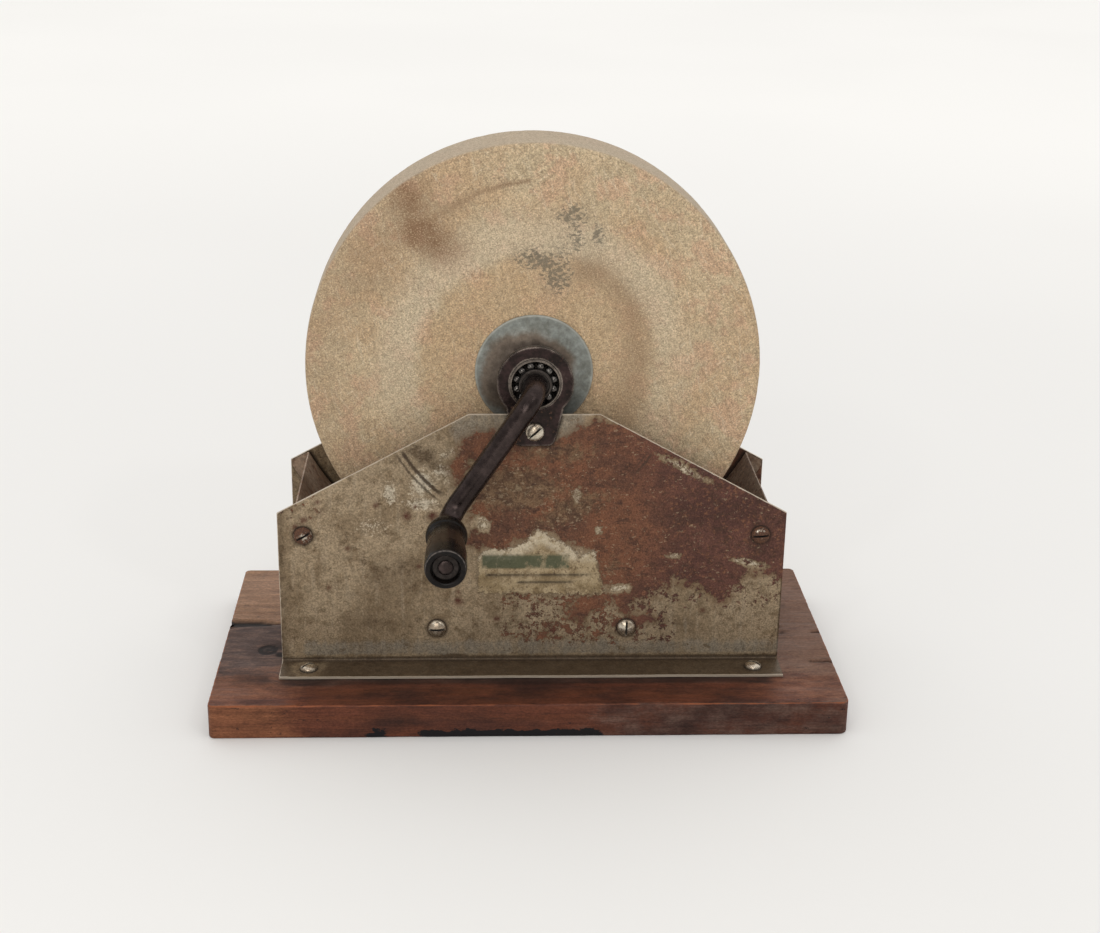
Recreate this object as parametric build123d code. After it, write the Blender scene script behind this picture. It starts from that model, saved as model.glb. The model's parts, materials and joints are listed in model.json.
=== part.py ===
from build123d import *
from math import cos, pi, radians, sin, sqrt
import os

# Hand-cranked wet grinding wheel: a sandstone wheel on a bent-rod axle and crank, turning in open
# ball bearings on two sheet-metal side panels, with a curved water trough between them, all on a
# wooden board. Millimetres. X runs to the right as seen from the crank side, Y runs away from the
# crank side, Z is up. The origin is the middle of the board's underside.

os.makedirs("parts", exist_ok=True)

# base board
board_x = 354.0
board_y = 185.0
board_z = 20.0
board_corner_r = 2.5

# the machine sits a little off the board's middle
machine_x = 1.9
machine_y = 4.3

# side panels: heights are above the board's top face
sheet = 1.2
panel_face_y = 44.1  # outer face, from the machine's middle plane
panel_half = 142.8
panel_corner_z = 92.2
panel_top_z = 150.4
panel_top_half = 36.2
foot_depth = 21.1
bend_r = 2.4
foot_screw_x = 127.0
foot_screw_out = 10.8  # from the panel's outer face

# wheel and axle
axis_z = 168.7
stone_r = 127.0
stone_w = 44.45
stone_edge_r = 3.0
stone_shift = -2.0  # the stone is clamped slightly nearer the crank
rod_r = 6.25
axle_rear_y = 62.0

# flange washers and clamp nuts
flange_r = 32.8
flange_dome = 5.0
flange_t = 2.0
clamp_nut_af = 22.0
clamp_nut_t = 7.0

# trough, concentric with the wheel
trough_r = 149.6
trough_t = 1.0
trough_flange_r = 163.0
trough_bend_r = 3.0
trough_screw_r = 156.9
trough_screw_deg = (55.1, 20.2)  # from straight down

# bearing brackets, cups, balls and cones
bracket_r = 21.0
bracket_t = 2.6
bracket_shoulder = (15.6, 15.2)
bracket_foot = (10.4, 36.0)
bracket_screw_z = 27.5  # below the axis
cup_r = 14.2
cup_lip = 1.6
ball_r = 2.38
ball_pitch_r = 10.3
ball_count = 12
ball_out = -0.6  # ball centres, outward from the bracket's outer face
race_r = ball_r + 0.07
cone_r = 9.0

# crank and grip
crank_deg = 33.65  # from straight down, towards -X
crank_throw = 86.8
crank_arm_y = -65.0
crank_bend_r = 13.0
grip_front_y = -132.4
grip_rear_y = -82.2
grip_bore_r = rod_r + 0.08
grip_mouth_r = 7.8
grip_mouth_depth = 4.8
disc_r = 6.9
disc_t = 1.6

# screws and nuts
screw_r = 2.4
foot_screw_r = 2.2
foot_screw_len = 15.0
head_r = 5.2
foot_head_r = 4.75
head_h = 3.3
slot_w = 1.25
slot_d = 1.7
nut_af = 9.5
nut_t = 3.2

top = board_z
axis_height = top + axis_z
inner_face_y = panel_face_y - sheet
bracket_face_y = panel_face_y + bracket_t
BASE = (Align.CENTER, Align.CENTER, Align.MIN)
AXIS = Location((machine_x, machine_y, axis_height))
MACHINE = Location((machine_x, machine_y, top))


def save(node, *solids):
    shape = solids[0] if len(solids) == 1 else Compound(children=list(solids))
    export_step(shape, "parts/" + node + ".step")


def one(shape):
    """The single solid of a boolean result."""
    found = shape.solids()
    assert len(found) == 1, len(found)
    return found[0]


def outline_face(items):
    """Closed flat face from corner points. A list among them is a smooth run: three points make an
    arc, more make a spline."""
    lines, last = [], None
    first = items[0][0] if isinstance(items[0], list) else items[0]
    for item in list(items) + [first]:
        run = item if isinstance(item, list) else None
        start = run[0] if run else item
        if last is not None and (Vector(*last) - Vector(*start)).length > 1e-6:
            lines.append(Line(last, start))
        if run:
            lines.append(ThreePointArc(*run) if len(run) == 3 else Spline(*run))
        last = run[-1] if run else item
    return make_face(lines)


def turned(items, side=-1):
    """Solid of revolution about the axle from (radius, y) points; side 1 mirrors it to the rear."""
    def put(point):
        return (point[0], point[1] if side < 0 else -point[1])
    flipped = [[put(q) for q in i] if isinstance(i, list) else put(i) for i in items]
    return one(revolve(outline_face(flipped), Axis.Y, 360))


def arc(centre, radius, start_deg, end_deg):
    """Three points of an arc."""
    mid_deg = (start_deg + end_deg) / 2
    return [(centre[0] + radius * cos(radians(d)), centre[1] + radius * sin(radians(d)))
            for d in (start_deg, mid_deg, end_deg)]


def rod(x, z, y_from, y_to, r):
    """Round bar parallel to Y."""
    length = y_to - y_from
    bar = Solid.make_cylinder(r, length, Plane((x, y_from, z), x_dir=(1, 0, 0), z_dir=(0, 1, 0)))
    return bar


def screw(length, slot_deg, r=screw_r, head=head_r, point=0.0):
    """Round-head slotted screw: head on +Z, shank down -Z, underside of the head at the origin."""
    rim = 0.7
    dome = []
    for deg in range(0, 91, 15):
        d = radians(deg)
        dome.append((head * sin(d), rim + (head_h - rim) * cos(d)))
    tail = [(r, 0), (r, -length + point)] + ([(0.3, -length)] if point else []) + [(0, -length)]
    body = revolve(Plane.XZ * outline_face([dome, (head, 0)] + tail), Axis.Z, 360)
    slot = Pos(0, 0, head_h - slot_d / 2 + 0.5) * Rot(0, 0, slot_deg) * Box(3 * head, slot_w, slot_d + 1)
    return one(body - slot)


def hex_nut(af, thickness, bore):
    """Chamfered hexagon nut on the Z axis, from z = 0 up."""
    blank = extrude(RegularPolygon(af / 2, 6, major_radius=False), thickness)
    r = af / sqrt(3)
    cone = revolve(make_face(Polyline(
        (0, 0, 0), (af / 2 * 0.97, 0, 0), (r, 0, (r - af / 2 * 0.97) * 0.55),
        (r, 0, thickness - (r - af / 2 * 0.97) * 0.55), (af / 2 * 0.97, 0, thickness),
        (0, 0, thickness), close=True)), Axis.Z, 360)
    return one((blank & cone) - Cylinder(bore, 4 * thickness))


def facing(side):
    """Turns local +Z to point outward along Y: side -1 is the crank side, 1 the rear."""
    return Rot(90, 0, 0) if side < 0 else Rot(-90, 0, 0)


def trough_screw_places():
    for deg in trough_screw_deg:
        for hand in (-1, 1):
            a = radians(deg)
            yield hand * trough_screw_r * sin(a), axis_z - trough_screw_r * cos(a)


# ---------------------------------------------------------------- board
board = Box(board_x, board_y, board_z, align=BASE)
board = fillet(board.edges().filter_by(Axis.Z), board_corner_r)
board = chamfer(board.faces().sort_by(Axis.Z)[-1].edges(), 1.0)
foot_places = [
    (machine_x + hand * foot_screw_x, machine_y + side * (panel_face_y + foot_screw_out))
    for side in (-1, 1) for hand in (-1, 1)
]
pilot = foot_screw_len - sheet
for x, y in foot_places:
    board -= Pos(x, y, top - pilot) * Cylinder(foot_screw_r, 2 * pilot, align=BASE)
board = one(board)
save("base_board", board)


# ---------------------------------------------------------------- side panels
def panel_outline(inset=0.0):
    """Corner points of the panel's outline, above the board's top, optionally inset."""
    slope = (panel_top_z - panel_corner_z) / (panel_half - panel_top_half)
    drop = inset * sqrt(1 + slope * slope)
    half = panel_half - inset
    corner = panel_corner_z + slope * inset - drop
    flat = panel_top_z - inset
    flat_half = panel_half - (flat + drop - panel_corner_z) / slope
    return [(-half, 0), (half, 0), (half, corner), (flat_half, flat), (-flat_half, flat),
            (-half, corner)]


def upright(points, y_from, y_to):
    """Plate standing in the XZ plane between two Y values, in machine coordinates."""
    face = make_face(Polyline(*[(x, z) for x, z in points], close=True))
    plate = extrude(Plane.XZ * face, -(y_to - y_from))
    return Pos(0, y_from, 0) * plate


def make_panel(side):
    lower = min(side * inner_face_y, side * panel_face_y)
    wall = upright(panel_outline(), lower, lower + sheet)
    # the foot: a bent strip, its profile in the YZ plane measured outward from the inner face
    centre = (bend_r, bend_r)
    strip = [(0.0, 8.0), arc(centre, bend_r, 180, 270), (foot_depth + sheet, 0.0),
             (foot_depth + sheet, sheet), arc(centre, bend_r - sheet, 270, 180), (sheet, 8.0)]

    def place(point):
        return (side * (inner_face_y + point[0]), point[1])
    strip = [[place(q) for q in i] if isinstance(i, list) else place(i) for i in strip]
    foot = extrude(Plane.YZ * outline_face(strip), panel_half, both=True)
    wall -= Pos(0, side * (inner_face_y + sheet / 2), 0) * Box(400, sheet * 3, 2 * bend_r)
    panel = wall + foot
    for x, z in trough_screw_places():
        panel -= rod(x, z, -60, 60, screw_r + 0.1)
    panel -= rod(0, axis_z - bracket_screw_z, -60, 60, screw_r + 0.1)
    for hand in (-1, 1):
        hole = Pos(hand * foot_screw_x, side * (panel_face_y + foot_screw_out), 0)
        panel -= hole * Cylinder(2.5, 20)
    return MACHINE * one(panel)


for name, side in (("front", -1), ("rear", 1)):
    save(name + "_panel", make_panel(side))

# ---------------------------------------------------------------- trough
b = trough_bend_r
edge_y = inner_face_y
centre = (trough_r + b, edge_y - b)
half_profile = [(trough_r, 0.0), arc(centre, b, 180, 90), (trough_flange_r, edge_y),
                (trough_flange_r, edge_y - trough_t), arc(centre, b - trough_t, 90, 180),
                (trough_r + trough_t, 0.0)]
half_trough = Rot(0, 20, 0) * revolve(outline_face(half_profile), Axis.Y, 140)
trough = half_trough + mirror(half_trough, Plane.XZ)
trough = Pos(0, 0, axis_z) * trough
trough = trough & upright(panel_outline(0.7), -60, 60)
for x, z in trough_screw_places():
    trough -= rod(x, z, -60, 60, screw_r + 0.1)
save("trough", MACHINE * one(trough))

# ---------------------------------------------------------------- screws and nuts
slots = {(-1, 0, -1): 30, (-1, 0, 1): 4, (-1, 1, -1): 2, (-1, 1, 1): 88,
         (1, 0, -1): 62, (1, 0, 1): 15, (1, 1, -1): 120, (1, 1, 1): 40}
trough_screw_len = sheet + trough_t + nut_t + 1.4
for name, side in (("front", -1), ("rear", 1)):
    heads, nuts = [], []
    for row, deg in enumerate(trough_screw_deg):
        for hand in (-1, 1):
            a = radians(deg)
            x, z = hand * trough_screw_r * sin(a), axis_z - trough_screw_r * cos(a)
            part = screw(trough_screw_len, slots[(side, row, hand)])
            heads.append(MACHINE * Pos(x, side * panel_face_y, z) * facing(side) * part)
            nut = hex_nut(nut_af, nut_t, screw_r)
            y = side * (inner_face_y - trough_t - nut_t)
            nuts.append(MACHINE * Pos(x, y, z) * facing(side) * Rot(0, 0, 11 * row + deg) * nut)
    save(name + "_trough_screws", *heads)
    save(name + "_trough_nuts", *nuts)

foot_slots = (35, 150, 75, 10)
foot_screws = []
for (x, y), deg in zip(foot_places, foot_slots):
    part = screw(foot_screw_len, deg, r=foot_screw_r, head=foot_head_r, point=4.0)
    foot_screws.append(Pos(x, y, top + sheet) * part)
save("foot_screws", *foot_screws)

bracket_screw_len = bracket_t + sheet + nut_t + 1.6
parts_screw, parts_nut = [], []
for side, deg in ((-1, 42), (1, 100)):
    part = screw(bracket_screw_len, deg)
    at = Pos(0, side * bracket_face_y, axis_z - bracket_screw_z)
    parts_screw.append(MACHINE * at * facing(side) * part)
    nut = hex_nut(nut_af, nut_t, screw_r)
    at = Pos(0, side * (inner_face_y - nut_t), axis_z - bracket_screw_z)
    parts_nut.append(MACHINE * at * facing(side) * Rot(0, 0, 17) * nut)
save("bracket_screws", *parts_screw)
save("bracket_nuts", *parts_nut)

# ---------------------------------------------------------------- bearings
for name, side in (("front", -1), ("rear", 1)):
    # bracket: a round plate with a tapering tab, edges rounded on the outer side
    sx, sz = bracket_shoulder
    fx, fz = bracket_foot
    tab = make_face(Polyline((-sx, -sz), (-fx, -fz), (fx, -fz), (sx, -sz), (sx * 0.9, 0),
                             (-sx * 0.9, 0), close=True))
    corners = tab.vertices().sort_by(Axis.Y)[:2]
    tab = fillet(corners, 4.0)
    plan = Circle(bracket_r) + tab
    plate = extrude(plan, bracket_t)
    rim = [e for e in plate.faces().sort_by(Axis.Z)[-1].edges()]
    plate = fillet(rim, 0.8)
    plate -= Cylinder(cup_r, 4 * bracket_t)
    plate -= Pos(0, -bracket_screw_z, 0) * Cylinder(screw_r + 0.1, 4 * bracket_t)
    # the plan was drawn with its tab towards local -Y; stand it up on the panel's outer face
    turn = Rot(90, 0, 0) if side < 0 else Rot(0, 0, 180) * Rot(90, 0, 0)
    save(name + "_bracket", AXIS * Pos(0, side * panel_face_y, 0) * turn * one(plate))

    face_y = -bracket_face_y  # written for the crank side; turned() mirrors it for the rear
    cy = face_y - ball_out
    race = arc((ball_pitch_r, cy), race_r, 0, 90)
    cup = [(cup_r, face_y - cup_lip + 0.5), (cup_r - 0.5, face_y - cup_lip),
           (ball_pitch_r + race_r + 0.3, face_y - cup_lip),
           (ball_pitch_r + race_r, face_y - cup_lip + 0.3), race]
    cup += [(8.2, cy + race_r), (8.2, face_y + 5.6), (cup_r - 0.8, face_y + 5.6),
            (cup_r, face_y + 4.8)]
    save(name + "_bearing_cup", AXIS * turned(cup, side))

    nose = arc((ball_pitch_r, cy), race_r, 180, 228)
    cone = [(rod_r, face_y + 4.6), (7.1, face_y + 4.6), (ball_pitch_r - race_r, face_y + 3.6)]
    cone += [nose, (cone_r, nose[-1][1] - 0.25), (cone_r, face_y - 3.0), (cone_r - 0.5, face_y - 3.5),
             (7.7, face_y - 3.5), (7.7, face_y - 2.3), (rod_r, face_y - 2.3)]
    save(name + "_bearing_cone", AXIS * turned(cone, side))

    balls = []
    for i in range(ball_count):
        a = radians(15 + 360 * i / ball_count)
        at = Pos(ball_pitch_r * cos(a), -side * cy, ball_pitch_r * sin(a))
        balls.append(AXIS * at * Sphere(ball_r))
    save(name + "_bearing_balls", *balls)

# ---------------------------------------------------------------- stone, washers, clamp nuts
half = stone_w / 2
r0, e = stone_r, stone_edge_r
stone = [(rod_r, stone_shift - half), (r0 - e, stone_shift - half)]
stone += [arc((r0 - e, stone_shift - half + e), e, -90, 0)]
stone += [arc((r0 - e, stone_shift + half - e), e, 0, 90), (rod_r, stone_shift + half)]
save("stone_wheel", AXIS * turned(stone))

steps = 6
for name, side in (("front", -1), ("rear", 1)):
    seat = half + (stone_shift if side > 0 else -stone_shift)  # stone face, outward from the middle
    outer, inner = [], []
    for i in range(steps + 1):
        swell = (1 - cos(pi * i / steps)) / 2
        r = flange_r - 0.6 - (flange_r - 12.1) * i / steps
        outer.append((r, -(seat + 1.3 + (flange_dome - 1.3) * swell)))
        r = flange_r - 3.0 - (flange_r - 14.5) * i / steps
        inner.insert(0, (r, -(seat + (flange_dome - flange_t) * swell)))
    washer = [outer, (rod_r, -(seat + flange_dome)), (rod_r, -(seat + flange_dome - flange_t))]
    washer += [inner, (flange_r - 0.5, -seat), (flange_r, -seat - 0.5), (flange_r, -seat - 0.8)]
    save(name + "_flange_washer", AXIS * turned(washer, side))
    nut = hex_nut(clamp_nut_af, clamp_nut_t, rod_r)
    at = Pos(0, side * (seat + flange_dome), 0)
    save(name + "_clamp_nut", AXIS * at * facing(side) * Rot(0, 0, 8) * nut)

# ---------------------------------------------------------------- axle and crank
a = radians(crank_deg)
arm = Vector(-sin(a), 0, -cos(a))
pin_x, pin_z = crank_throw * arm.X, crank_throw * arm.Z
plane = Plane((0, 0, 0), x_dir=arm, z_dir=arm.cross(Vector(0, 1, 0)))
disc_rear_y = grip_front_y + grip_mouth_depth - 0.3
corners = [(0, axle_rear_y), (0, crank_arm_y), (crank_throw, crank_arm_y), (crank_throw, disc_rear_y)]
k = crank_bend_r
path = Wire([
    Line(corners[0], (0, crank_arm_y + k)).edge(),
    RadiusArc((0, crank_arm_y + k), (k, crank_arm_y), -k).edge(),
    Line((k, crank_arm_y), (crank_throw - k, crank_arm_y)).edge(),
    RadiusArc((crank_throw - k, crank_arm_y), (crank_throw, crank_arm_y - k), k).edge(),
    Line((crank_throw, crank_arm_y - k), corners[3]).edge(),
])
section = Plane((0, axle_rear_y, 0), x_dir=(1, 0, 0), z_dir=(0, -1, 0)) * Circle(rod_r)
bent = sweep(section, path=path)
end = crank_throw
rivet_neck = Pos(end, disc_rear_y - disc_t / 2, 0) * Rot(90, 0, 0) * Cylinder(3.1, disc_t + 0.4)
cap_outline = [(0, 0), (4.1, 0), [(4.1, 0.4), (3.2, 1.15), (1.7, 1.4), (0, 1.45)]]
cap = revolve(Plane.XZ * outline_face(cap_outline), Axis.Z, 360)
rivet = Pos(end, disc_rear_y - disc_t, 0) * Rot(90, 0, 0) * cap
crank = one(bent + rivet_neck + rivet)
tip = chamfer(crank.edges().filter_by(GeomType.CIRCLE).sort_by(Axis.Y)[-1], 0.8)
crank = AXIS * plane.location * tip
save("crank_axle", one(crank))

lock_nut_y = bracket_face_y + 3.5
nut = hex_nut(19.0, 7.0, rod_r)
save("rear_lock_nut", AXIS * Pos(0, lock_nut_y, 0) * facing(1) * Rot(0, 0, 21) * nut)

# ---------------------------------------------------------------- hand grip and its retaining disc
PIN = AXIS * Pos(pin_x, 0, pin_z)
f, g = grip_front_y, grip_rear_y
profile = [
    (grip_mouth_r, f + grip_mouth_depth), (grip_mouth_r, f + 0.4), (grip_mouth_r + 0.4, f),
    [(10.1, f), (10.85, f + 0.7), (11.2, f + 3.0), (11.25, f + 8.0), (11.1, f + 15.0),
     (10.7, f + 23.0), (10.15, f + 31.0), (9.8, f + 36.0), (9.75, f + 38.0)],
    [(9.75, f + 38.0), (10.35, f + 39.9), (11.2, f + 42.0), (11.4, f + 44.6), (11.0, f + 47.2),
     (9.9, f + 49.2), (8.2, g)],
    (grip_bore_r, g),
    (grip_bore_r, f + grip_mouth_depth),
]
save("hand_grip", PIN * turned(profile))
disc = Pos(0, disc_rear_y - disc_t / 2, 0) * Rot(90, 0, 0) * (Cylinder(disc_r, disc_t) - Cylinder(3.1, 10))
disc = chamfer(disc.edges().filter_by(GeomType.CIRCLE).sort_by(Axis.Y)[0:1], 0.3)
save("grip_disc", PIN * one(disc))
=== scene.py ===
import itertools
import json
import math

import bmesh
import bpy
import numpy as np
from mathutils import Matrix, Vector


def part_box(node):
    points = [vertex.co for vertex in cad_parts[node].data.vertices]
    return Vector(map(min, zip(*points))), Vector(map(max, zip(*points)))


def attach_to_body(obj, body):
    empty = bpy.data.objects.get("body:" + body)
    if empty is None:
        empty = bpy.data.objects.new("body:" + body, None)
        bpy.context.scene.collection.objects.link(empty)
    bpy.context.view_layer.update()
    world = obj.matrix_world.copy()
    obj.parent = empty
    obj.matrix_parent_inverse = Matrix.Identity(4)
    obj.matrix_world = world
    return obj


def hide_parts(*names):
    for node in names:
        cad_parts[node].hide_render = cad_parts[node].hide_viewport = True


# Looks for the hand-cranked wet grinding wheel: a worn sandstone wheel, stained and rusted sheet
# panels, a greasy crank and grip, and an old red-brown board, on a pale studio floor. Lengths in
# the shape functions are millimetres from the machine's middle: x to the right, y away from the
# crank side, z above the board's top face. The frame itself is in metres.

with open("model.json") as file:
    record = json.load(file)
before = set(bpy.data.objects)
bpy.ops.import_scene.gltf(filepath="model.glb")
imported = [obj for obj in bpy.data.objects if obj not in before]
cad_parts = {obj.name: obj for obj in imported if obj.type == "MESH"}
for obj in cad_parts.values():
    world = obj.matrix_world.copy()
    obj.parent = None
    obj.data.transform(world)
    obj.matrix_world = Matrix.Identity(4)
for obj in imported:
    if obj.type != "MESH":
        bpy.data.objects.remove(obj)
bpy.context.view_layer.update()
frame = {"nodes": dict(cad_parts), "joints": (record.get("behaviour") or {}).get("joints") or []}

MM = 0.001
nodes = frame["nodes"]
joint_at = {j["name"]: np.array(j["pos_m"]) for j in frame["joints"]}


def corners(node):
    """Lowest and highest corner of a CAD node, in metres."""
    return tuple(np.array(c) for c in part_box(node))


AXIS = joint_at["wheel_spin"]
PIN = joint_at["grip_spin"]
board_low, board_high = corners("base_board")
MACHINE = np.array((AXIS[0], AXIS[1], board_high[2]))
axis_z = (AXIS[2] - MACHINE[2]) / MM
SHEET = 1.2
ROD_R = 6.25


# ---------------------------------------------------------------- repeatable noise
def lattice(cell, seed):
    """Repeatable number in 0..1 for each whole-number point of space."""
    x, y, z = (cell[..., k].astype(np.uint32) for k in range(3))
    mixed = x * np.uint32(374761393) ^ y * np.uint32(668265263) ^ z * np.uint32(2246822519)
    mixed ^= np.uint32(seed * 3266489917 % 2**32)
    mixed = (mixed ^ (mixed >> 15)) * np.uint32(2246822519)
    mixed = (mixed ^ (mixed >> 13)) * np.uint32(3266489917)
    return (mixed ^ (mixed >> 16)) / 2**32


def soft_noise(points, size, seed=0):
    """Smooth noise in -1..1 whose lumps are about `size` apart."""
    at = points / size
    cell = np.floor(at).astype(np.int64)
    t = at - cell
    t = t * t * (3 - 2 * t)
    total = 0
    for corner in itertools.product((0, 1), repeat=3):
        weight = np.prod(np.where(corner, t, 1 - t), axis=-1)
        total = total + weight * lattice(cell + corner, seed)
    return 2 * total - 1


def rough_noise(points, size, seed=0, octaves=4):
    """Noise in -1..1 with finer lumps on the larger ones."""
    shares = [0.5**k for k in range(octaves)]
    layers = [s * soft_noise(points, size * s, seed + k) for k, s in enumerate(shares)]
    return sum(layers) / sum(shares)


def rise(value, low, high):
    """0 below low, 1 above high, smooth between."""
    t = np.clip((value - low) / (high - low), 0, 1)
    return t * t * (3 - 2 * t)


# ---------------------------------------------------------------- flat marks
def inside_depth(x, z, outline):
    """How far (x, z) is inside a closed outline: negative outside."""
    start = np.array(outline, float)
    run = np.roll(start, -1, 0) - start
    point = np.stack([x, z], -1)[..., None, :]
    along = np.clip(((point - start) * run).sum(-1) / (run**2).sum(-1), 0, 1)
    gap = np.linalg.norm(point - start - along[..., None] * run, axis=-1).min(-1)
    end = start + run
    spans = (start[:, 1] > z[..., None]) != (end[:, 1] > z[..., None])
    height = np.where(run[:, 1] == 0, 1, run[:, 1])
    crossing = start[:, 0] + (z[..., None] - start[:, 1]) / height * run[:, 0]
    odd = (spans & (x[..., None] < crossing)).sum(-1) % 2 == 1
    return np.where(odd, gap, -gap)


def line_gap(x, z, points):
    """Distance from (x, z) to an open line through the points."""
    start, end = np.array(points[:-1], float), np.array(points[1:], float)
    run = end - start
    point = np.stack([x, z], -1)[..., None, :]
    along = np.clip(((point - start) * run).sum(-1) / (run**2).sum(-1), 0, 1)
    return np.linalg.norm(point - start - along[..., None] * run, axis=-1).min(-1)


def spot(x, z, centre, size_x, size_z=None, turn=0):
    """Soft round or oval spot, 1 in its middle."""
    a = math.radians(turn)
    dx, dz = x - centre[0], z - centre[1]
    u = (dx * math.cos(a) + dz * math.sin(a)) / size_x
    v = (dz * math.cos(a) - dx * math.sin(a)) / (size_z or size_x)
    return np.exp(-(u**2 + v**2))


def arc_points(radius, start_deg, end_deg, steps=12):
    """Points of an arc about the axle, in degrees from straight up, towards +X."""
    turns = np.radians(np.linspace(start_deg, end_deg, steps))
    return [(radius * math.sin(t), radius * math.cos(t)) for t in turns]


# ---------------------------------------------------------------- mesh building
def grid_faces(rows, columns, wrap_rows=False, wrap_columns=False):
    index = np.arange(rows * columns).reshape(rows, columns)
    if wrap_rows:
        index = np.vstack([index, index[:1]])
    if wrap_columns:
        index = np.hstack([index, index[:, :1]])
    quads = [index[:-1, :-1], index[1:, :-1], index[1:, 1:], index[:-1, 1:]]
    return np.stack(quads, -1).reshape(-1, 4)


def make_piece(name, points, faces, marks=None, sharp_deg=38):
    """Mesh object from points in metres. marks are named numbers, one for each point."""
    mesh = bpy.data.meshes.new(name)
    mesh.from_pydata(np.reshape(points, (-1, 3)).tolist(), [], [list(f) for f in faces])
    for mark, values in (marks or {}).items():
        layer = mesh.attributes.new(mark, "FLOAT", "POINT")
        layer.data.foreach_set("value", np.ravel(values).astype(np.float32))
    work = bmesh.new()
    work.from_mesh(mesh)
    bmesh.ops.remove_doubles(work, verts=work.verts, dist=1e-7)
    bmesh.ops.recalc_face_normals(work, faces=work.faces)
    work.to_mesh(mesh)
    work.free()
    mesh.shade_smooth()
    mesh.set_sharp_from_angle(angle=math.radians(sharp_deg))
    piece = bpy.data.objects.new(name, mesh)
    bpy.context.scene.collection.objects.link(piece)
    return piece


def attach(piece, body, slot, finish, *replaced):
    """Finish and body of a new piece, and the CAD nodes it stands for, which get hidden. The slot argument is not used.
    """
    piece.data.materials.append(finish)
    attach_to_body(piece, body)
    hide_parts(*replaced)


def turned_points(profile, segments, centre):
    """Points (rows, segments, 3) in mm about an axle along Y, and in metres about centre."""
    turn = np.linspace(0, 2 * np.pi, segments, endpoint=False)
    r, y = np.array(profile, float).T
    x, z = np.outer(r, np.sin(turn)), np.outer(r, np.cos(turn))
    local = np.stack([x, np.repeat(y[:, None], segments, 1), z], -1)
    return local, centre + local * MM


def outward(profile):
    """Unit normals (r, y) to the right of a closed profile that runs anticlockwise."""
    p = np.array(profile, float)
    run = np.roll(p, -1, 0) - np.roll(p, 1, 0)
    normal = np.stack([-run[:, 1], run[:, 0]], -1)
    return normal / np.maximum(np.linalg.norm(normal, axis=-1, keepdims=True), 1e-9)


def smooth_run(points, steps=6):
    """Catmull-Rom curve through the points."""
    p = np.array([points[0], *points, points[-1]], float)
    out = []
    for k in range(1, len(p) - 2):
        for t in np.arange(steps) / steps:
            a, b, c, d = p[k - 1:k + 3]
            out.append(0.5 * (2 * b + (c - a) * t + (2 * a - 5 * b + 4 * c - d) * t**2
                              + (3 * b - a - 3 * c + d) * t**3))
    return [tuple(q) for q in out] + [tuple(p[-1])]


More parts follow.
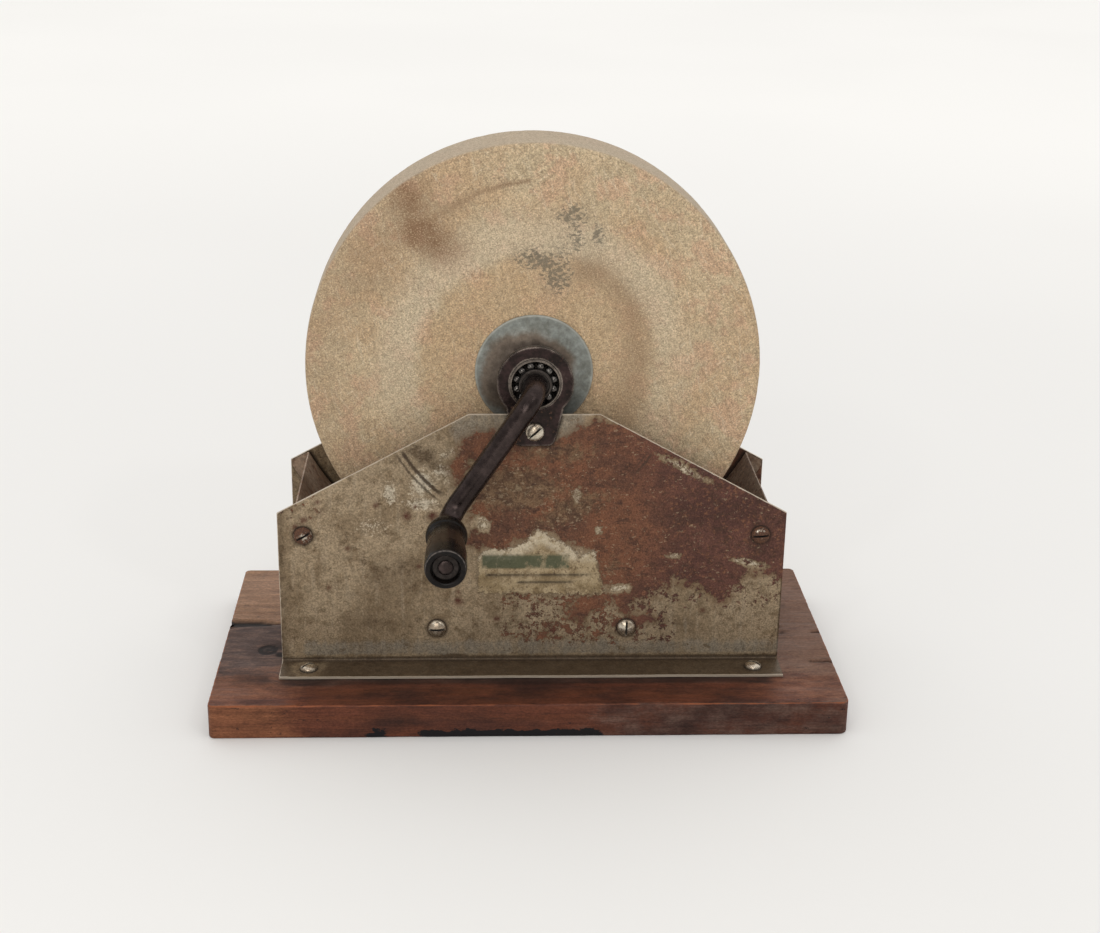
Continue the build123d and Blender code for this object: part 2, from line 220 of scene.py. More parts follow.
# ---------------------------------------------------------------- node materials
class Finish:
    """One procedural material. Its methods add a node and return that node's output socket."""

    def __init__(self, name, **fixed):
        self.material = bpy.data.materials.new(name)
        self.material.use_nodes = True
        self.tree = self.material.node_tree
        self.tree.nodes.clear()
        self.surface = self.add("BsdfPrincipled")
        output = self.add("OutputMaterial")
        self.feed(output.inputs["Surface"], self.surface.outputs["BSDF"])
        self.place = self.add("TexCoord").outputs["Object"]
        for socket, value in fixed.items():
            self.surface.inputs[socket.replace("_", " ")].default_value = value

    def add(self, kind):
        return self.tree.nodes.new("ShaderNode" + kind)

    def feed(self, socket, value):
        if isinstance(value, bpy.types.NodeSocket):
            self.tree.links.new(value, socket)
        elif isinstance(value, tuple) and len(socket.default_value) == 4:
            socket.default_value = (*value, 1)
        else:
            socket.default_value = value

    def mark(self, name):
        node = self.add("Attribute")
        node.attribute_name = name
        return node.outputs["Fac"]

    def math(self, operation, a, b=0.0, limit=False):
        node = self.add("Math")
        node.operation = operation
        node.use_clamp = limit
        self.feed(node.inputs[0], a)
        self.feed(node.inputs[1], b)
        return node.outputs[0]

    def stretched(self, stretch, seed, place=None):
        node = self.add("Mapping")
        self.feed(node.inputs["Vector"], place or self.place)
        node.inputs["Scale"].default_value = [1 / s for s in stretch]
        node.inputs["Location"].default_value = (0.371 * seed, 0.713 * seed, 0.529 * seed)
        return node.outputs["Vector"]

    def noise(self, size, detail=3.0, rough=0.55, stretch=(1, 1, 1), warp=0.0, seed=0, tilt=0.0):
        """Noise in about 0..1 with lumps `size` mm across, longer along stretch, turned about Y."""
        node = self.add("TexNoise")
        place = self.place
        if tilt:
            turned = self.add("VectorRotate")
            turned.rotation_type = "Y_AXIS"
            turned.inputs["Angle"].default_value = math.radians(tilt)
            self.feed(turned.inputs["Vector"], place)
            place = turned.outputs["Vector"]
        self.feed(node.inputs["Vector"], self.stretched(stretch, seed, place))
        node.inputs["Scale"].default_value = 1 / (size * MM)
        node.inputs["Detail"].default_value = detail
        node.inputs["Roughness"].default_value = rough
        node.inputs["Distortion"].default_value = warp
        return node.outputs["Fac"]

    def bands(self, value, size, detail=2.0, rough=0.5):
        """One-dimensional noise along a value in mm."""
        node = self.add("TexNoise")
        node.noise_dimensions = "1D"
        self.feed(node.inputs["W"], value)
        node.inputs["Scale"].default_value = 1 / size
        node.inputs["Detail"].default_value = detail
        node.inputs["Roughness"].default_value = rough
        return node.outputs["Fac"]

    def cells(self, size, output="Distance", stretch=(1, 1, 1), seed=0):
        node = self.add("TexVoronoi")
        self.feed(node.inputs["Vector"], self.stretched(stretch, seed))
        node.inputs["Scale"].default_value = 1 / (size * MM)
        return node.outputs[output]

    def step(self, value, low, high, start=0.0, end=1.0):
        """start below low, end above high, smooth between."""
        node = self.add("MapRange")
        node.interpolation_type = "SMOOTHSTEP"
        self.feed(node.inputs["Value"], value)
        for socket, number in zip(("From Min", "From Max", "To Min", "To Max"),
                                  (low, high, start, end)):
            node.inputs[socket].default_value = number
        return node.outputs["Result"]

    def mix(self, factor, a, b):
        """Colour a where factor is 0, b where it is 1."""
        node = self.add("Mix")
        node.data_type = "RGBA"
        for socket, value in zip((node.inputs[0], node.inputs[6], node.inputs[7]), (factor, a, b)):
            self.feed(socket, value)
        return node.outputs[2]

    def blend(self, factor, a, b):
        """Number a where factor is 0, b where it is 1."""
        node = self.add("Mix")
        for socket, value in zip((node.inputs[0], node.inputs[2], node.inputs[3]), (factor, a, b)):
            self.feed(socket, value)
        return node.outputs[0]

    def scale(self, colour, factor):
        """Colour made darker or lighter by a factor."""
        node = self.add("VectorMath")
        node.operation = "SCALE"
        self.feed(node.inputs[0], colour)
        self.feed(node.inputs["Scale"], factor)
        return node.outputs[0]

    def part(self, axis):
        node = self.add("SeparateXYZ")
        self.feed(node.inputs[0], self.place)
        return node.outputs[axis]

    def bump(self, height, depth, below=None):
        """Normal from a height in 0..1 that stands for `depth` mm."""
        node = self.add("Bump")
        node.inputs["Distance"].default_value = depth * MM
        self.feed(node.inputs["Height"], height)
        if below is not None:
            self.feed(node.inputs["Normal"], below)
        return node.outputs["Normal"]

    def openness(self, reach, inside=False):
        """1 on open ground, less in corners within reach mm; from inside, less near sharp edges."""
        node = self.add("AmbientOcclusion")
        node.samples = 8
        node.inside = inside
        node.inputs["Distance"].default_value = reach * MM
        return node.outputs["AO"]

    def finished(self, colour, roughness, normal=None, metallic=None):
        self.feed(self.surface.inputs["Base Color"], colour)
        self.feed(self.surface.inputs["Roughness"], roughness)
        if normal is not None:
            self.feed(self.surface.inputs["Normal"], normal)
        if metallic is not None:
            self.feed(self.surface.inputs["Metallic"], metallic)
        return self.material


# ---------------------------------------------------------------- the stone
def stone_finish():
    f = Finish("sandstone_grit", Specular_IOR_Level=0.2)
    drift = f.noise(42, 3, seed=1)
    cloud = f.noise(15, 4, 0.6, seed=2)
    pink = f.noise(21, 4, 0.65, seed=3)
    colour = f.mix(f.step(drift, 0.36, 0.64), (0.47, 0.335, 0.205), (0.51, 0.395, 0.255))
    colour = f.mix(f.step(cloud, 0.47, 0.58, 0, 0.5), colour, (0.43, 0.345, 0.225))
    colour = f.mix(f.step(pink, 0.49, 0.6, 0, 0.7), colour, (0.5, 0.325, 0.212))
    for tilt, seed in ((38, 31), (-52, 33), (12, 35)):
        score = f.noise(1.5, 2, 0.6, (1, 1, 11), seed=seed, tilt=tilt)
        colour = f.mix(f.step(score, 0.62, 0.68, 0, 0.35), colour, (0.6, 0.5, 0.36))
        colour = f.mix(f.step(score, 0.34, 0.4, 0.3, 0), colour, (0.28, 0.2, 0.12))
    colour = f.mix(f.math("MULTIPLY", f.mark("core"), 0.5), colour, (0.46, 0.318, 0.185))
    colour = f.mix(f.math("MULTIPLY", f.mark("band"), 0.62), colour, (0.54, 0.45, 0.32))
    colour = f.mix(f.math("MULTIPLY", f.mark("rim"), 0.8), colour, (0.44, 0.365, 0.275))
    # grains: each one a little lighter or darker, with scattered dark flecks
    grain = f.cells(0.75, "Color", seed=4)
    fine = f.noise(0.85, 3, 0.75, seed=5)
    coarse = f.noise(2.8, 4, 0.75, seed=6)
    tone = f.math("ADD", f.math("MULTIPLY", fine, 0.7), f.math("MULTIPLY", coarse, 0.3))
    smooth = f.math("SUBTRACT", 1.0, f.math("MULTIPLY", f.mark("rim"), 0.7))
    tone = f.blend(smooth, 1.0, f.step(tone, 0.32, 0.68, 0.58, 1.4))
    colour = f.scale(colour, tone)
    colour = f.scale(colour, f.step(grain, 0.0, 1.0, 0.82, 1.16))
    fleck = f.step(f.noise(1.5, 2, 0.6, seed=7), 0.65, 0.73, 0, 0.65)
    colour = f.mix(f.math("MULTIPLY", fleck, smooth), colour, (0.2, 0.13, 0.08))
    pale = f.step(f.noise(1.2, 2, 0.6, seed=17), 0.64, 0.72, 0, 0.5)
    colour = f.mix(pale, colour, (0.66, 0.55, 0.4))
    # marks that soak in between the grains
    for mark, shade, share, specks in (("stain", (0.215, 0.125, 0.07), 0.5, 0.62),
                                       ("shade", (0.25, 0.165, 0.1), 0.4, 0.55),
                                       ("grease_and_shadow", (0.06, 0.04, 0.028), 0.62, 0.4)):
        density = f.mark(mark)
        soaked = f.math("MULTIPLY", density, f.step(coarse, 0.3, 0.7, 0.55 * share, 1.3 * share))
        dotted = f.math("MULTIPLY", density, f.step(fine, 0.5, 0.64, specks, 0))
        colour = f.mix(f.math("ADD", soaked, dotted, True), colour, shade)
    # what is left of an ink mark: dark only in the pores, with a faint grey cast between them
    density = f.mark("smudge")
    pores = f.noise(1.5, 3, 0.7, (1.5, 1, 1), seed=10)
    dots = f.step(f.math("ADD", pores, f.math("MULTIPLY", density, 0.2)), 0.6, 0.68)
    dots = f.math("MULTIPLY", dots, f.step(density, 0.08, 0.5))
    colour = f.mix(f.math("MULTIPLY", density, 0.2), colour, (0.3, 0.28, 0.23))
    colour = f.mix(f.math("MULTIPLY", dots, 0.72), colour, (0.13, 0.115, 0.085))
    rough = f.step(coarse, 0.3, 0.7, 0.97, 0.86)
    grit = f.math("ADD", f.math("MULTIPLY", f.noise(0.9, 3, 0.8, seed=12), 0.6),
                  f.math("MULTIPLY", f.cells(1.2, seed=13), 0.4))
    normal = f.bump(grit, 0.3)
    normal = f.bump(f.noise(4.5, 3, 0.7, seed=14), 0.5, normal)
    return f.finished(colour, rough, normal)


def stone_marks(local, front, rear, radius):
    """Colour marks of the wheel, from points in mm about the axle."""
    x, y, z = local[..., 0], local[..., 1], local[..., 2]
    r = np.hypot(x, z)
    turn = np.arctan2(x, z)
    on_front = rise(-y, -front - 4, -front - 1)
    wobble = 4 * rough_noise(local, 30, 21)
    ring = r + wobble
    core = 1 - rise(ring, 58, 68)
    upper = rise(np.cos(turn + 0.2), -0.35, 0.5)
    band = rise(ring, 63, 71) * (1 - rise(ring, 78, 96)) * (0.4 + 0.6 * upper)
    rim = rise(r, radius - 1.2, radius - 0.3)
    ragged = 1 + 0.5 * rough_noise(local, 12, 23, 3)
    stain = np.maximum.reduce([spot(x, z, (-68, 96), 12, 15, 35), spot(x, z, (-60, 77), 18, 12, -28),
                               0.7 * spot(x, z, (-51, 70), 13, 10), 0.3 * spot(x, z, (-82, 66), 22, 20)])
    swoop = [(-52, 88), (-41, 94), (-30, 100), (-18, 104), (-4, 106.5)]
    shade = 0.85 * np.exp(-(line_gap(x, z, swoop) / (1.3 + 1.6 * rise(-x, 20, 50))) ** 2)
    runnel = [(28, 58), (42, 52), (52, 38), (57, 22), (58, 6), (54, -12), (50, -30)]
    shade = np.maximum(shade, 0.62 * np.exp(-(line_gap(x, z, runnel) / 9) ** 2))
    left = rise(-np.sin(turn + 0.1), 0.55, 0.95) * rise(r, 88, 120)
    shade = np.maximum.reduce([shade, 0.36 * left, 0.8 * spot(x, z, (96.7, 88.7), 4, 7, 45),
                               0.6 * spot(x, z, (86, 98), 3, 5, 40), 0.5 * spot(x, z, (52, -60), 20, 34, 15),
                               0.1 * spot(x, z, (-92, -10), 18, 40, -5)])
    smudge = np.maximum.reduce([spot(x, z, (4, 63), 16, 7, -10), spot(x, z, (12, 54), 9, 10, 15),
                                0.85 * spot(x, z, (20, 87), 10, 8), 0.85 * spot(x, z, (34, 77), 4, 8),
                                0.8 * spot(x, z, (22, 75), 6, 8), 0.45 * spot(x, z, (16, 66), 12, 14)])
    # a dark ring just round the washer, stronger below it: grease, with the washer's painted shadow
    grease_and_shadow = 0.3 * (1 - rise(r + 0.4 * wobble, 32.6, 36)) * rise(-z, -20, 25)
    only_front = {"stain": stain * ragged, "shade": shade * ragged, "smudge": smudge}
    marks = {"core": core, "band": band, "rim": rim, "grease_and_shadow": grease_and_shadow}
    marks.update({name: np.clip(values, 0, 1) * on_front for name, values in only_front.items()})
    back = 0.6 * rise(rough_noise(local, 34, 40), 0.15, 0.5) * rise(y, rear - 4, rear - 1)
    marks["stain"] = np.maximum(marks["stain"], back)
    return marks


def stone_piece():
    low, high = corners("stone_wheel")
    radius = (high[0] - low[0]) / 2 / MM
    front, rear = ((c[1] - AXIS[1]) / MM for c in (low, high))
    edge = 3.0
    seat = 33.2  # nothing is worn away under the flange washers
    face = np.concatenate([np.linspace(ROD_R, seat, 5)[:-1], np.linspace(seat, radius - edge, 70)])
    turns = np.radians(np.linspace(0, 90, 7))[1:-1]
    half = [(r, front, 0, -1) for r in face]
    half += [(radius - edge + edge * math.sin(t), front + edge * (1 - math.cos(t)),
              math.sin(t), -math.cos(t)) for t in turns]
    rows = half + [(radius, y, 1, 0) for y in np.linspace(front + edge, rear - edge, 28)]
    rows += [(r, front + rear - y, nr, -ny) for r, y, nr, ny in reversed(half)]
    rows = np.array(rows, float)
    local, _ = turned_points(rows[:, :2], 540, AXIS)
    r = np.hypot(local[..., 0], local[..., 2])
    side = np.minimum(local[..., 1] - front, rear - local[..., 1])
    corner = np.hypot(radius - r, side)
    on_rim = rise(rows[:, 2], 0.2, 0.9)[:, None]
    grit = 0.13 * (1 + rough_noise(local, 2.4, 31, 2)) * (1 - 0.55 * on_rim)
    dish = 0.2 * (1 + rough_noise(local, 38, 33, 2))
    pits = 0.55 * rise(soft_noise(local, 3.4, 35), 0.58, 0.92) * (1 - 0.4 * on_rim)
    chips = rise(rough_noise(local, 8, 36, 3), 0.2, 0.62) * np.exp(-(corner / 2.3) ** 2)
    wear = 0.5 * np.exp(-(corner / 4.0) ** 2)
    depth = (grit + dish + pits + 1.3 * chips + wear) * rise(r, seat, seat + 3)
    turn = np.arctan2(local[..., 0], local[..., 2])
    normal = np.stack([rows[:, 2:3] * np.sin(turn), np.broadcast_to(rows[:, 3:4], turn.shape),
                       rows[:, 2:3] * np.cos(turn)], -1)
    local = local - normal * depth[..., None]
    faces = grid_faces(*local.shape[:2], True, True)
    marks = stone_marks(local, front, rear, radius)
    piece = make_piece("worn_sandstone_wheel", AXIS + local * MM, faces, marks, 80)
    attach(piece, "wheel", "sandstone", stone_finish(), "stone_wheel")


# ---------------------------------------------------------------- side panels
panel_low, panel_high = corners("front_panel")
PANEL_HALF = (panel_high[0] - panel_low[0]) / 2 / MM
PANEL_TOP = (panel_high[2] - MACHINE[2]) / MM
PANEL_CORNER = 92.2
PANEL_TOP_HALF = 36.2
FACE_Y = 44.1
FOOT_DEPTH = (MACHINE[1] - panel_low[1]) / MM - FACE_Y
FLANGE_Y = panel_low[1] / MM  # front edge of the crank-side foot flange
BEND_R = 2.4


def panel_height(x):
    """Height of the panel's top edge at x."""
    slope = (PANEL_TOP - PANEL_CORNER) / (PANEL_HALF - PANEL_TOP_HALF)
    return PANEL_TOP - slope * np.maximum(np.abs(x) - PANEL_TOP_HALF, 0)


def sheet_finish(name, has_label):
    """Old plated sheet: dull olive patina, bare grey zinc, rust, a torn blank label; painted contact shade and pale
    edges with painted highlight.
    """
    f = Finish(name, Specular_IOR_Level=0.22)
    broad = f.noise(34, 4, 0.6, seed=1)
    patch = f.noise(11, 5, 0.65, seed=2)
    fine = f.noise(3.2, 4, 0.7, seed=3)
    speck = f.noise(0.9, 3, 0.75, seed=4)

    def swing(value, amount):
        """A noise turned into a push of up to half the amount either way."""
        return f.math("MULTIPLY", f.math("SUBTRACT", value, 0.5), amount)

    colour = f.mix(f.step(broad, 0.4, 0.58), (0.22, 0.16, 0.098), (0.3, 0.228, 0.147))
    colour = f.mix(f.step(patch, 0.5, 0.62, 0, 0.55), colour, (0.155, 0.106, 0.06))
    streak = f.noise(5, 4, 0.65, (1, 1, 7), seed=5)
    colour = f.mix(f.step(streak, 0.52, 0.64, 0, 0.5), colour, (0.335, 0.262, 0.178))
    # grime, and painted shade: the thin shadow line along the front panel's right edge
    grime_and_shade_level = f.math("ADD", f.mark("grime_and_shade"), f.math("ADD", swing(fine, 1.3), swing(patch, 1.0)))
    colour = f.mix(f.step(grime_and_shade_level, 0.25, 0.85, 0, 0.85), colour, (0.075, 0.05, 0.03))
    zinc = f.math("ADD", f.mark("zinc"), f.math("ADD", swing(patch, 1.3), swing(streak, 1.0)))
    colour = f.mix(f.step(zinc, 0.3, 0.95, 0, 0.7), colour, (0.225, 0.198, 0.158))
    scuff = f.math("ADD", f.mark("scuff"), f.math("ADD", swing(fine, 1.5), swing(speck, 0.9)))
    colour = f.mix(f.step(scuff, 0.4, 0.75, 0, 0.75), colour, (0.5, 0.44, 0.34))
    # brown dots and freckles over the whole sheet, thin pale scratches
    dots = f.step(f.noise(2.0, 3, 0.6, seed=16), 0.655, 0.71, 0, 0.75)
    colour = f.mix(dots, colour, (0.1, 0.06, 0.035))
    colour = f.mix(f.step(f.noise(4.6, 4, 0.75, seed=18), 0.59, 0.66, 0, 0.65), colour, (0.115, 0.074, 0.042))
    colour = f.scale(colour, f.step(speck, 0.3, 0.7, 0.66, 1.36))
    colour = f.scale(colour, f.step(fine, 0.36, 0.64, 0.87, 1.13))
    scratch = f.cells(7, seed=6, stretch=(1, 1, 9))
    colour = f.mix(f.step(scratch, 0.0, 0.035, 0.35, 0), colour, (0.42, 0.36, 0.27))
    # rust: its edge breaks up into islands
    edge = f.math("ADD", swing(patch, 42), f.math("ADD", swing(fine, 24), swing(speck, 9)))
    field = f.math("ADD", f.mark("rust"), f.math("MULTIPLY", edge, f.mark("broken")))
    islands = f.math("ADD", f.noise(3.8, 5, 0.72, seed=19), f.math("MULTIPLY", f.mark("freckles"), 0.085))
    islands = f.math("MULTIPLY", f.step(islands, 0.6, 0.632), f.step(f.mark("freckles"), 0.1, 0.3))
    rust = f.math("MAXIMUM", f.step(field, -0.8, 1.0), islands)
    deep = f.noise(19, 4, 0.65, seed=7)
    mottle = f.noise(5.5, 5, 0.7, seed=9)
    rusty = f.mix(f.step(deep, 0.38, 0.62), (0.163, 0.07, 0.039), (0.105, 0.05, 0.032))
    rusty = f.mix(f.mark("purple"), rusty, f.mix(f.step(deep, 0.4, 0.6), (0.106, 0.047, 0.035),
                                                 (0.072, 0.033, 0.026)))
    rusty = f.mix(f.step(mottle, 0.5, 0.66, 0, 0.75), rusty, (0.062, 0.032, 0.022))
    rusty = f.mix(f.step(f.noise(2.2, 4, 0.75, seed=8), 0.52, 0.68, 0, 0.7), rusty, (0.2, 0.09, 0.048))
    thin = f.math("ADD", f.mark("thin"), f.math("ADD", swing(fine, 1.3), swing(patch, 1.2)))
    rusty = f.mix(f.step(thin, 0.35, 0.8, 0, 0.85), rusty, f.mix(f.step(mottle, 0.42, 0.58),
                  (0.165, 0.105, 0.06), (0.085, 0.05, 0.031)))
    bare = f.math("ADD", f.mark("thin"), f.math("ADD", swing(fine, 0.9), swing(mottle, 2.0)))
    rusty = f.mix(f.step(bare, 1.15, 1.4, 0, 0.6), rusty, (0.26, 0.19, 0.115))
    flecks = f.math("ADD", f.noise(1.9, 3, 0.7, (1.6, 1, 1), seed=21), f.math("MULTIPLY", f.mark("thin"), 0.05))
    flecks = f.step(flecks, 0.63, 0.68, 0, 0.6)
    rusty = f.mix(flecks, rusty, (0.3, 0.22, 0.14))
    rusty = f.mix(f.step(f.noise(3.6, 4, 0.7, (3, 1, 1), seed=22), 0.58, 0.66, 0, 0.65), rusty, (0.055, 0.03, 0.022))
    rusty = f.scale(rusty, f.step(speck, 0.3, 0.7, 0.66, 1.36))
    halo = f.step(field, -6, 0.5, 0, 0.6)
    colour = f.mix(halo, colour, (0.15, 0.085, 0.045))
    colour = f.mix(rust, colour, rusty)
    # dark drops, and dark rings round the screw heads: dirt, with painted contact shadow
    for mark, shade, share in (("drops", (0.085, 0.03, 0.02), 0.92), ("ring", (0.045, 0.026, 0.016), 0.85)):
        broken = f.math("MULTIPLY", f.mark(mark), f.step(fine, 0.3, 0.55, 1.3 * share, 0.75 * share))
        colour = f.mix(f.math("MINIMUM", broken, 0.95), colour, shade)
    if has_label:
        # lines rubbed round the axle
        reach = f.place
        for operation, vector in (("SUBTRACT", AXIS), ("MULTIPLY", (1, 0, 1)), ("LENGTH", (0, 0, 0))):
            node = f.add("VectorMath")
            node.operation = operation
            f.feed(node.inputs[0], reach)
            node.inputs[1].default_value = tuple(vector)
            reach = node.outputs["Value" if operation == "LENGTH" else "Vector"]
        for mark, radius, width, share in (("rub", 83.0, 1.5, 0.9), ("rub", 86.6, 1.0, 0.7),
                                           ("scrape", 77.2, 0.9, 0.7), ("scrape", 74.8, 0.7, 0.5)):
            off = f.math("ABSOLUTE", f.math("SUBTRACT", reach, radius * MM))
            off = f.math("ADD", off, f.math("MULTIPLY", f.math("SUBTRACT", fine, 0.5), 2.2 * MM))
            line = f.step(off, 0.3 * width * MM, width * MM, share, 0)
            colour = f.mix(f.math("MULTIPLY", line, f.mark(mark)), colour, (0.05, 0.032, 0.022))
    gloss = f.blend(rust, f.step(patch, 0.35, 0.65, 0.4, 0.58), 0.88)
    metal = f.math("SUBTRACT", 0.5, f.math("MULTIPLY", rust, 0.5), True)
    height = f.math("ADD", f.math("MULTIPLY", fine, 0.35), f.math("MULTIPLY", speck, 0.25))
    height = f.math("ADD", f.math("MULTIPLY", height, f.blend(rust, 0.3, 1.2)),
                    f.math("MULTIPLY", rust, 0.45))
    if has_label:
        torn = f.math("ADD", f.mark("label"), f.math("ADD", swing(fine, 9), swing(speck, 3)))
        paper = f.step(torn, -0.3, 0.3)
        aged = f.mix(f.step(patch, 0.38, 0.62), (0.255, 0.185, 0.1), (0.4, 0.31, 0.19))
        aged = f.mix(f.step(f.noise(6, 4, 0.7, seed=11), 0.5, 0.64, 0, 0.75), aged, (0.175, 0.12, 0.062))
        aged = f.mix(f.step(f.noise(2.6, 3, 0.7, seed=12), 0.58, 0.66, 0, 0.75), aged, (0.1, 0.062, 0.036))
        aged = f.mix(f.math("MULTIPLY", f.mark("peel"), f.step(fine, 0.38, 0.55, 0.2, 0.85)), aged, (0.52, 0.44, 0.32))
        aged = f.scale(aged, f.step(speck, 0.3, 0.7, 0.8, 1.18))
        flaked = f.step(f.math("ADD", patch, f.math("MULTIPLY", fine, 0.45)), 0.72, 0.86, 0.85, 0.4)
        aged = f.mix(f.math("MULTIPLY", f.mark("band"), flaked), aged, (0.055, 0.07, 0.04))
        aged = f.mix(f.math("MULTIPLY", f.mark("rules"), flaked), aged, (0.03, 0.022, 0.016))
        aged = f.mix(f.step(torn, 0.2, 1.3, 0.6, 0), aged, (0.1, 0.065, 0.04))
        colour = f.mix(paper, colour, aged)
        gloss = f.blend(paper, gloss, 0.75)
        metal = f.math("SUBTRACT", metal, paper, True)
        height = f.math("ADD", height, f.math("MULTIPLY", paper, 0.6))
    # painted contact shade, with some dirt, round whatever stands on the sheet: darker where it is closed in within 3
    # mm
    colour = f.mix(f.step(f.openness(3.0), 0.6, 0.97, 0.88, 0), colour, (0.028, 0.019, 0.014))
    # pale edges: wear, with painted highlight along the sheet's edges
    worn = f.math("ADD", f.mark("rim"), f.math("ADD", swing(fine, 0.9), swing(patch, 0.9)))
    colour = f.mix(f.step(worn, 0.1, 0.5, 0.85, 0), colour, (0.58, 0.5, 0.4))
    normal = f.bump(height, 0.22)
    return f.finished(colour, gloss, normal, metal)


def front_panel_marks(x, z, foot):
    """Stains, rust and wear of the crank-side panel, with painted shade: a shadow line on its right edge and contact
    shadow in the rings round the screws. foot is 1 on its foot flange.
    """
    wall = 1 - foot
    rust_edge = [(-46, 121), (-39, 136), (-24, 141), (8, 132), (22, 141), (33, 148), (60, 142), (80, 131),
                 (100, 120), (146, 100), (146, 53), (122, 56), (107.5, 36.5), (94, 48.5), (80, 52.5),
                 (73, 45), (60, 38.6), (54.5, 31), (41.7, 41), (34, 69), (14, 78), (-0.5, 83), (-8.6, 75),
                 (-23.5, 69), (-36, 75), (-38, 95)]
    patches = [[(22, 27), (31, 30), (41, 36), (40, 42), (26, 41)], [(58, 27), (66, 31), (70, 27), (62, 24)]]
    rust = inside_depth(x, z, rust_edge)
    for outline in patches:
        rust = np.maximum(rust, np.where(foot > 0.5, -24, inside_depth(x, z, outline)))
    # bare flecks inside the rust
    bare = np.zeros_like(x)
    for centre, wide, high, turn in (((24, 103), 7, 8, 20), ((37, 82), 4, 5, 0), ((84, 118), 20, 3.4, -30),
                                     ((50, 46), 8, 3, 10), ((-28, 86), 6, 6, 0), ((-34, 112), 4, 12, 0),
                                     ((122, 62), 12, 2.6, -10), ((80, 66), 6, 3, 0)):
        bare = np.maximum(bare, spot(x, z, centre, wide, high, turn))
    rust = np.minimum(rust, 14) - 20 * bare
    freckles = rise(x, -26, 2) * (1 - rise(x, 64, 92)) * rise(z, 8, 16) * (1 - rise(z, 40, 52))
    freckles = np.maximum(freckles, 0.85 * spot(x, z, (40, 32), 34, 13))
    freckles = np.maximum(freckles, 0.55 * rise(x, 60, 80) * rise(z, 28, 40))
    freckles = np.maximum(freckles, 0.3 * rise(-x, 100, 130) * rise(z, 60, 95)) * wall
    broken = 0.4 + 0.35 * spot(x, z, (-6, 98), 30, 16) + 0.25 * spot(x, z, (60, 45), 40, 14)
    broken = np.maximum(broken + 0.35 * spot(x, z, (80, 124), 36, 8, -28), 0.95 * rise(bare, 0.1, 0.4))
    thin = np.maximum.reduce([1.15 * spot(x, z, (-10, 106), 30, 16), 0.95 * spot(x, z, (20, 94), 26, 10, 18),
                              0.75 * spot(x, z, (12, 128), 34, 9), 0.5 * spot(x, z, (44, 62), 14, 22)])
    label = inside_depth(x, z, [(-31, 43), (41, 42), (38, 55), (34.5, 70), (27, 66), (20, 72), (10, 78),
                                (2, 83), (-4, 75), (-14, 70), (-24, 71), (-31, 66)])
    peel = rise(z, 60, 66) * (1 - rise(label, 4, 9))
    band = rise(x, -29, -28) * (1 - rise(x, 20, 21)) * rise(z, 58.0, 58.9) * (1 - rise(z, 66.3, 67.2))
    rules = rise(x, -27, -26) * (1 - rise(x, 33, 34)) * np.exp(-((z - 54.2) / 0.85) ** 2)
    rules = rules + rise(x, -9, -8) * (1 - rise(x, 22, 23)) * np.exp(-((z - 49.8) / 0.85) ** 2)
    # painted shadow: a thin dark line along the panel's right edge, laid on through the grime mark
    right_shadow = rise(x, PANEL_HALF - 1.5, PANEL_HALF - 0.4)
    # darker along the fold above the foot
    run = np.exp(-(np.maximum(z - 1.5, 0) / 2.6) ** 2) * (0.62 + 0.38 * rise(x, -110, -60))
    grime_and_shade = np.maximum.reduce([0.5 * spot(x, z, (-78, 55), 26, 20), 0.4 * spot(x, z, (-96, 24), 26, 12),
                               0.45 * spot(x, z, (-20, 20), 30, 12), 1.3 * run * wall, 1.2 * right_shadow,
                               1.3 * spot(x, z, (-44, 3.2), 10, 2.4) * wall,
                               0.6 * spot(x, z, (-60, 126), 34, 9, -28), 0.7 * spot(x, z, (-24, 124), 12, 18),
                               0.55 * rise(-x, 134, 142)])
    grime_and_shade = np.maximum(grime_and_shade, foot * (1.25 - 0.8 * np.exp(-((x + 127) / 14) ** 2)))
    zinc = rise(z, 3, 6) * (1 - rise(z, 10, 18)) * (0.8 - 0.45 * rise(-x, 128, 136))
    zinc = np.maximum(zinc, 0.85 * rise(z, 126, 138) * (1 - rise(np.abs(x + 8), 30, 48)))
    zinc = np.maximum(zinc, 0.35 * spot(x, z, (88, 20), 40, 14)) * wall
    scuff = np.maximum.reduce([0.8 * spot(x, z, (-80, 104), 5, 9, 10), 0.85 * spot(x, z, (-62, 110), 8, 10, -20),
                               0.8 * spot(x, z, (-62, 98), 12, 5, 0), 0.6 * spot(x, z, (-50, 116), 8, 9, 40), 0.5 * spot(x, z, (-90, 84), 14, 8),
                               0.55 * spot(x, z, (-48, 128), 9, 4, 28), 0.55 * rise(bare, 0.3, 0.8)])
    turn = np.degrees(np.arctan2(x, z - axis_z)) % 360
    rub = rise(turn, 217, 220) * (1 - rise(turn, 240, 242))
    scrape = rise(turn, 121, 124) * (1 - rise(turn, 130, 134))
    drops = np.zeros_like(x)
    for px, pz, size in ((-70.6, 90.5, 2.0), (-56, 90.5, 2.2), (-42, 38, 2.2), (-104, 71, 1.2), (-88, 97, 1.3),
                         (-115, 47, 1.1), (-64, 60, 1.1), (-20, 27, 1.5), (12, 20, 1.7), (98, 32, 1.3),
                         (-128, 88, 1.6), (-133, 84, 1.4), (-120, 99, 1.2), (-42, 44, 1.1), (-66, 96, 1.0)):
        drops = np.maximum(drops, np.clip(1.7 * spot(x, z, (px, pz), size), 0, 1))
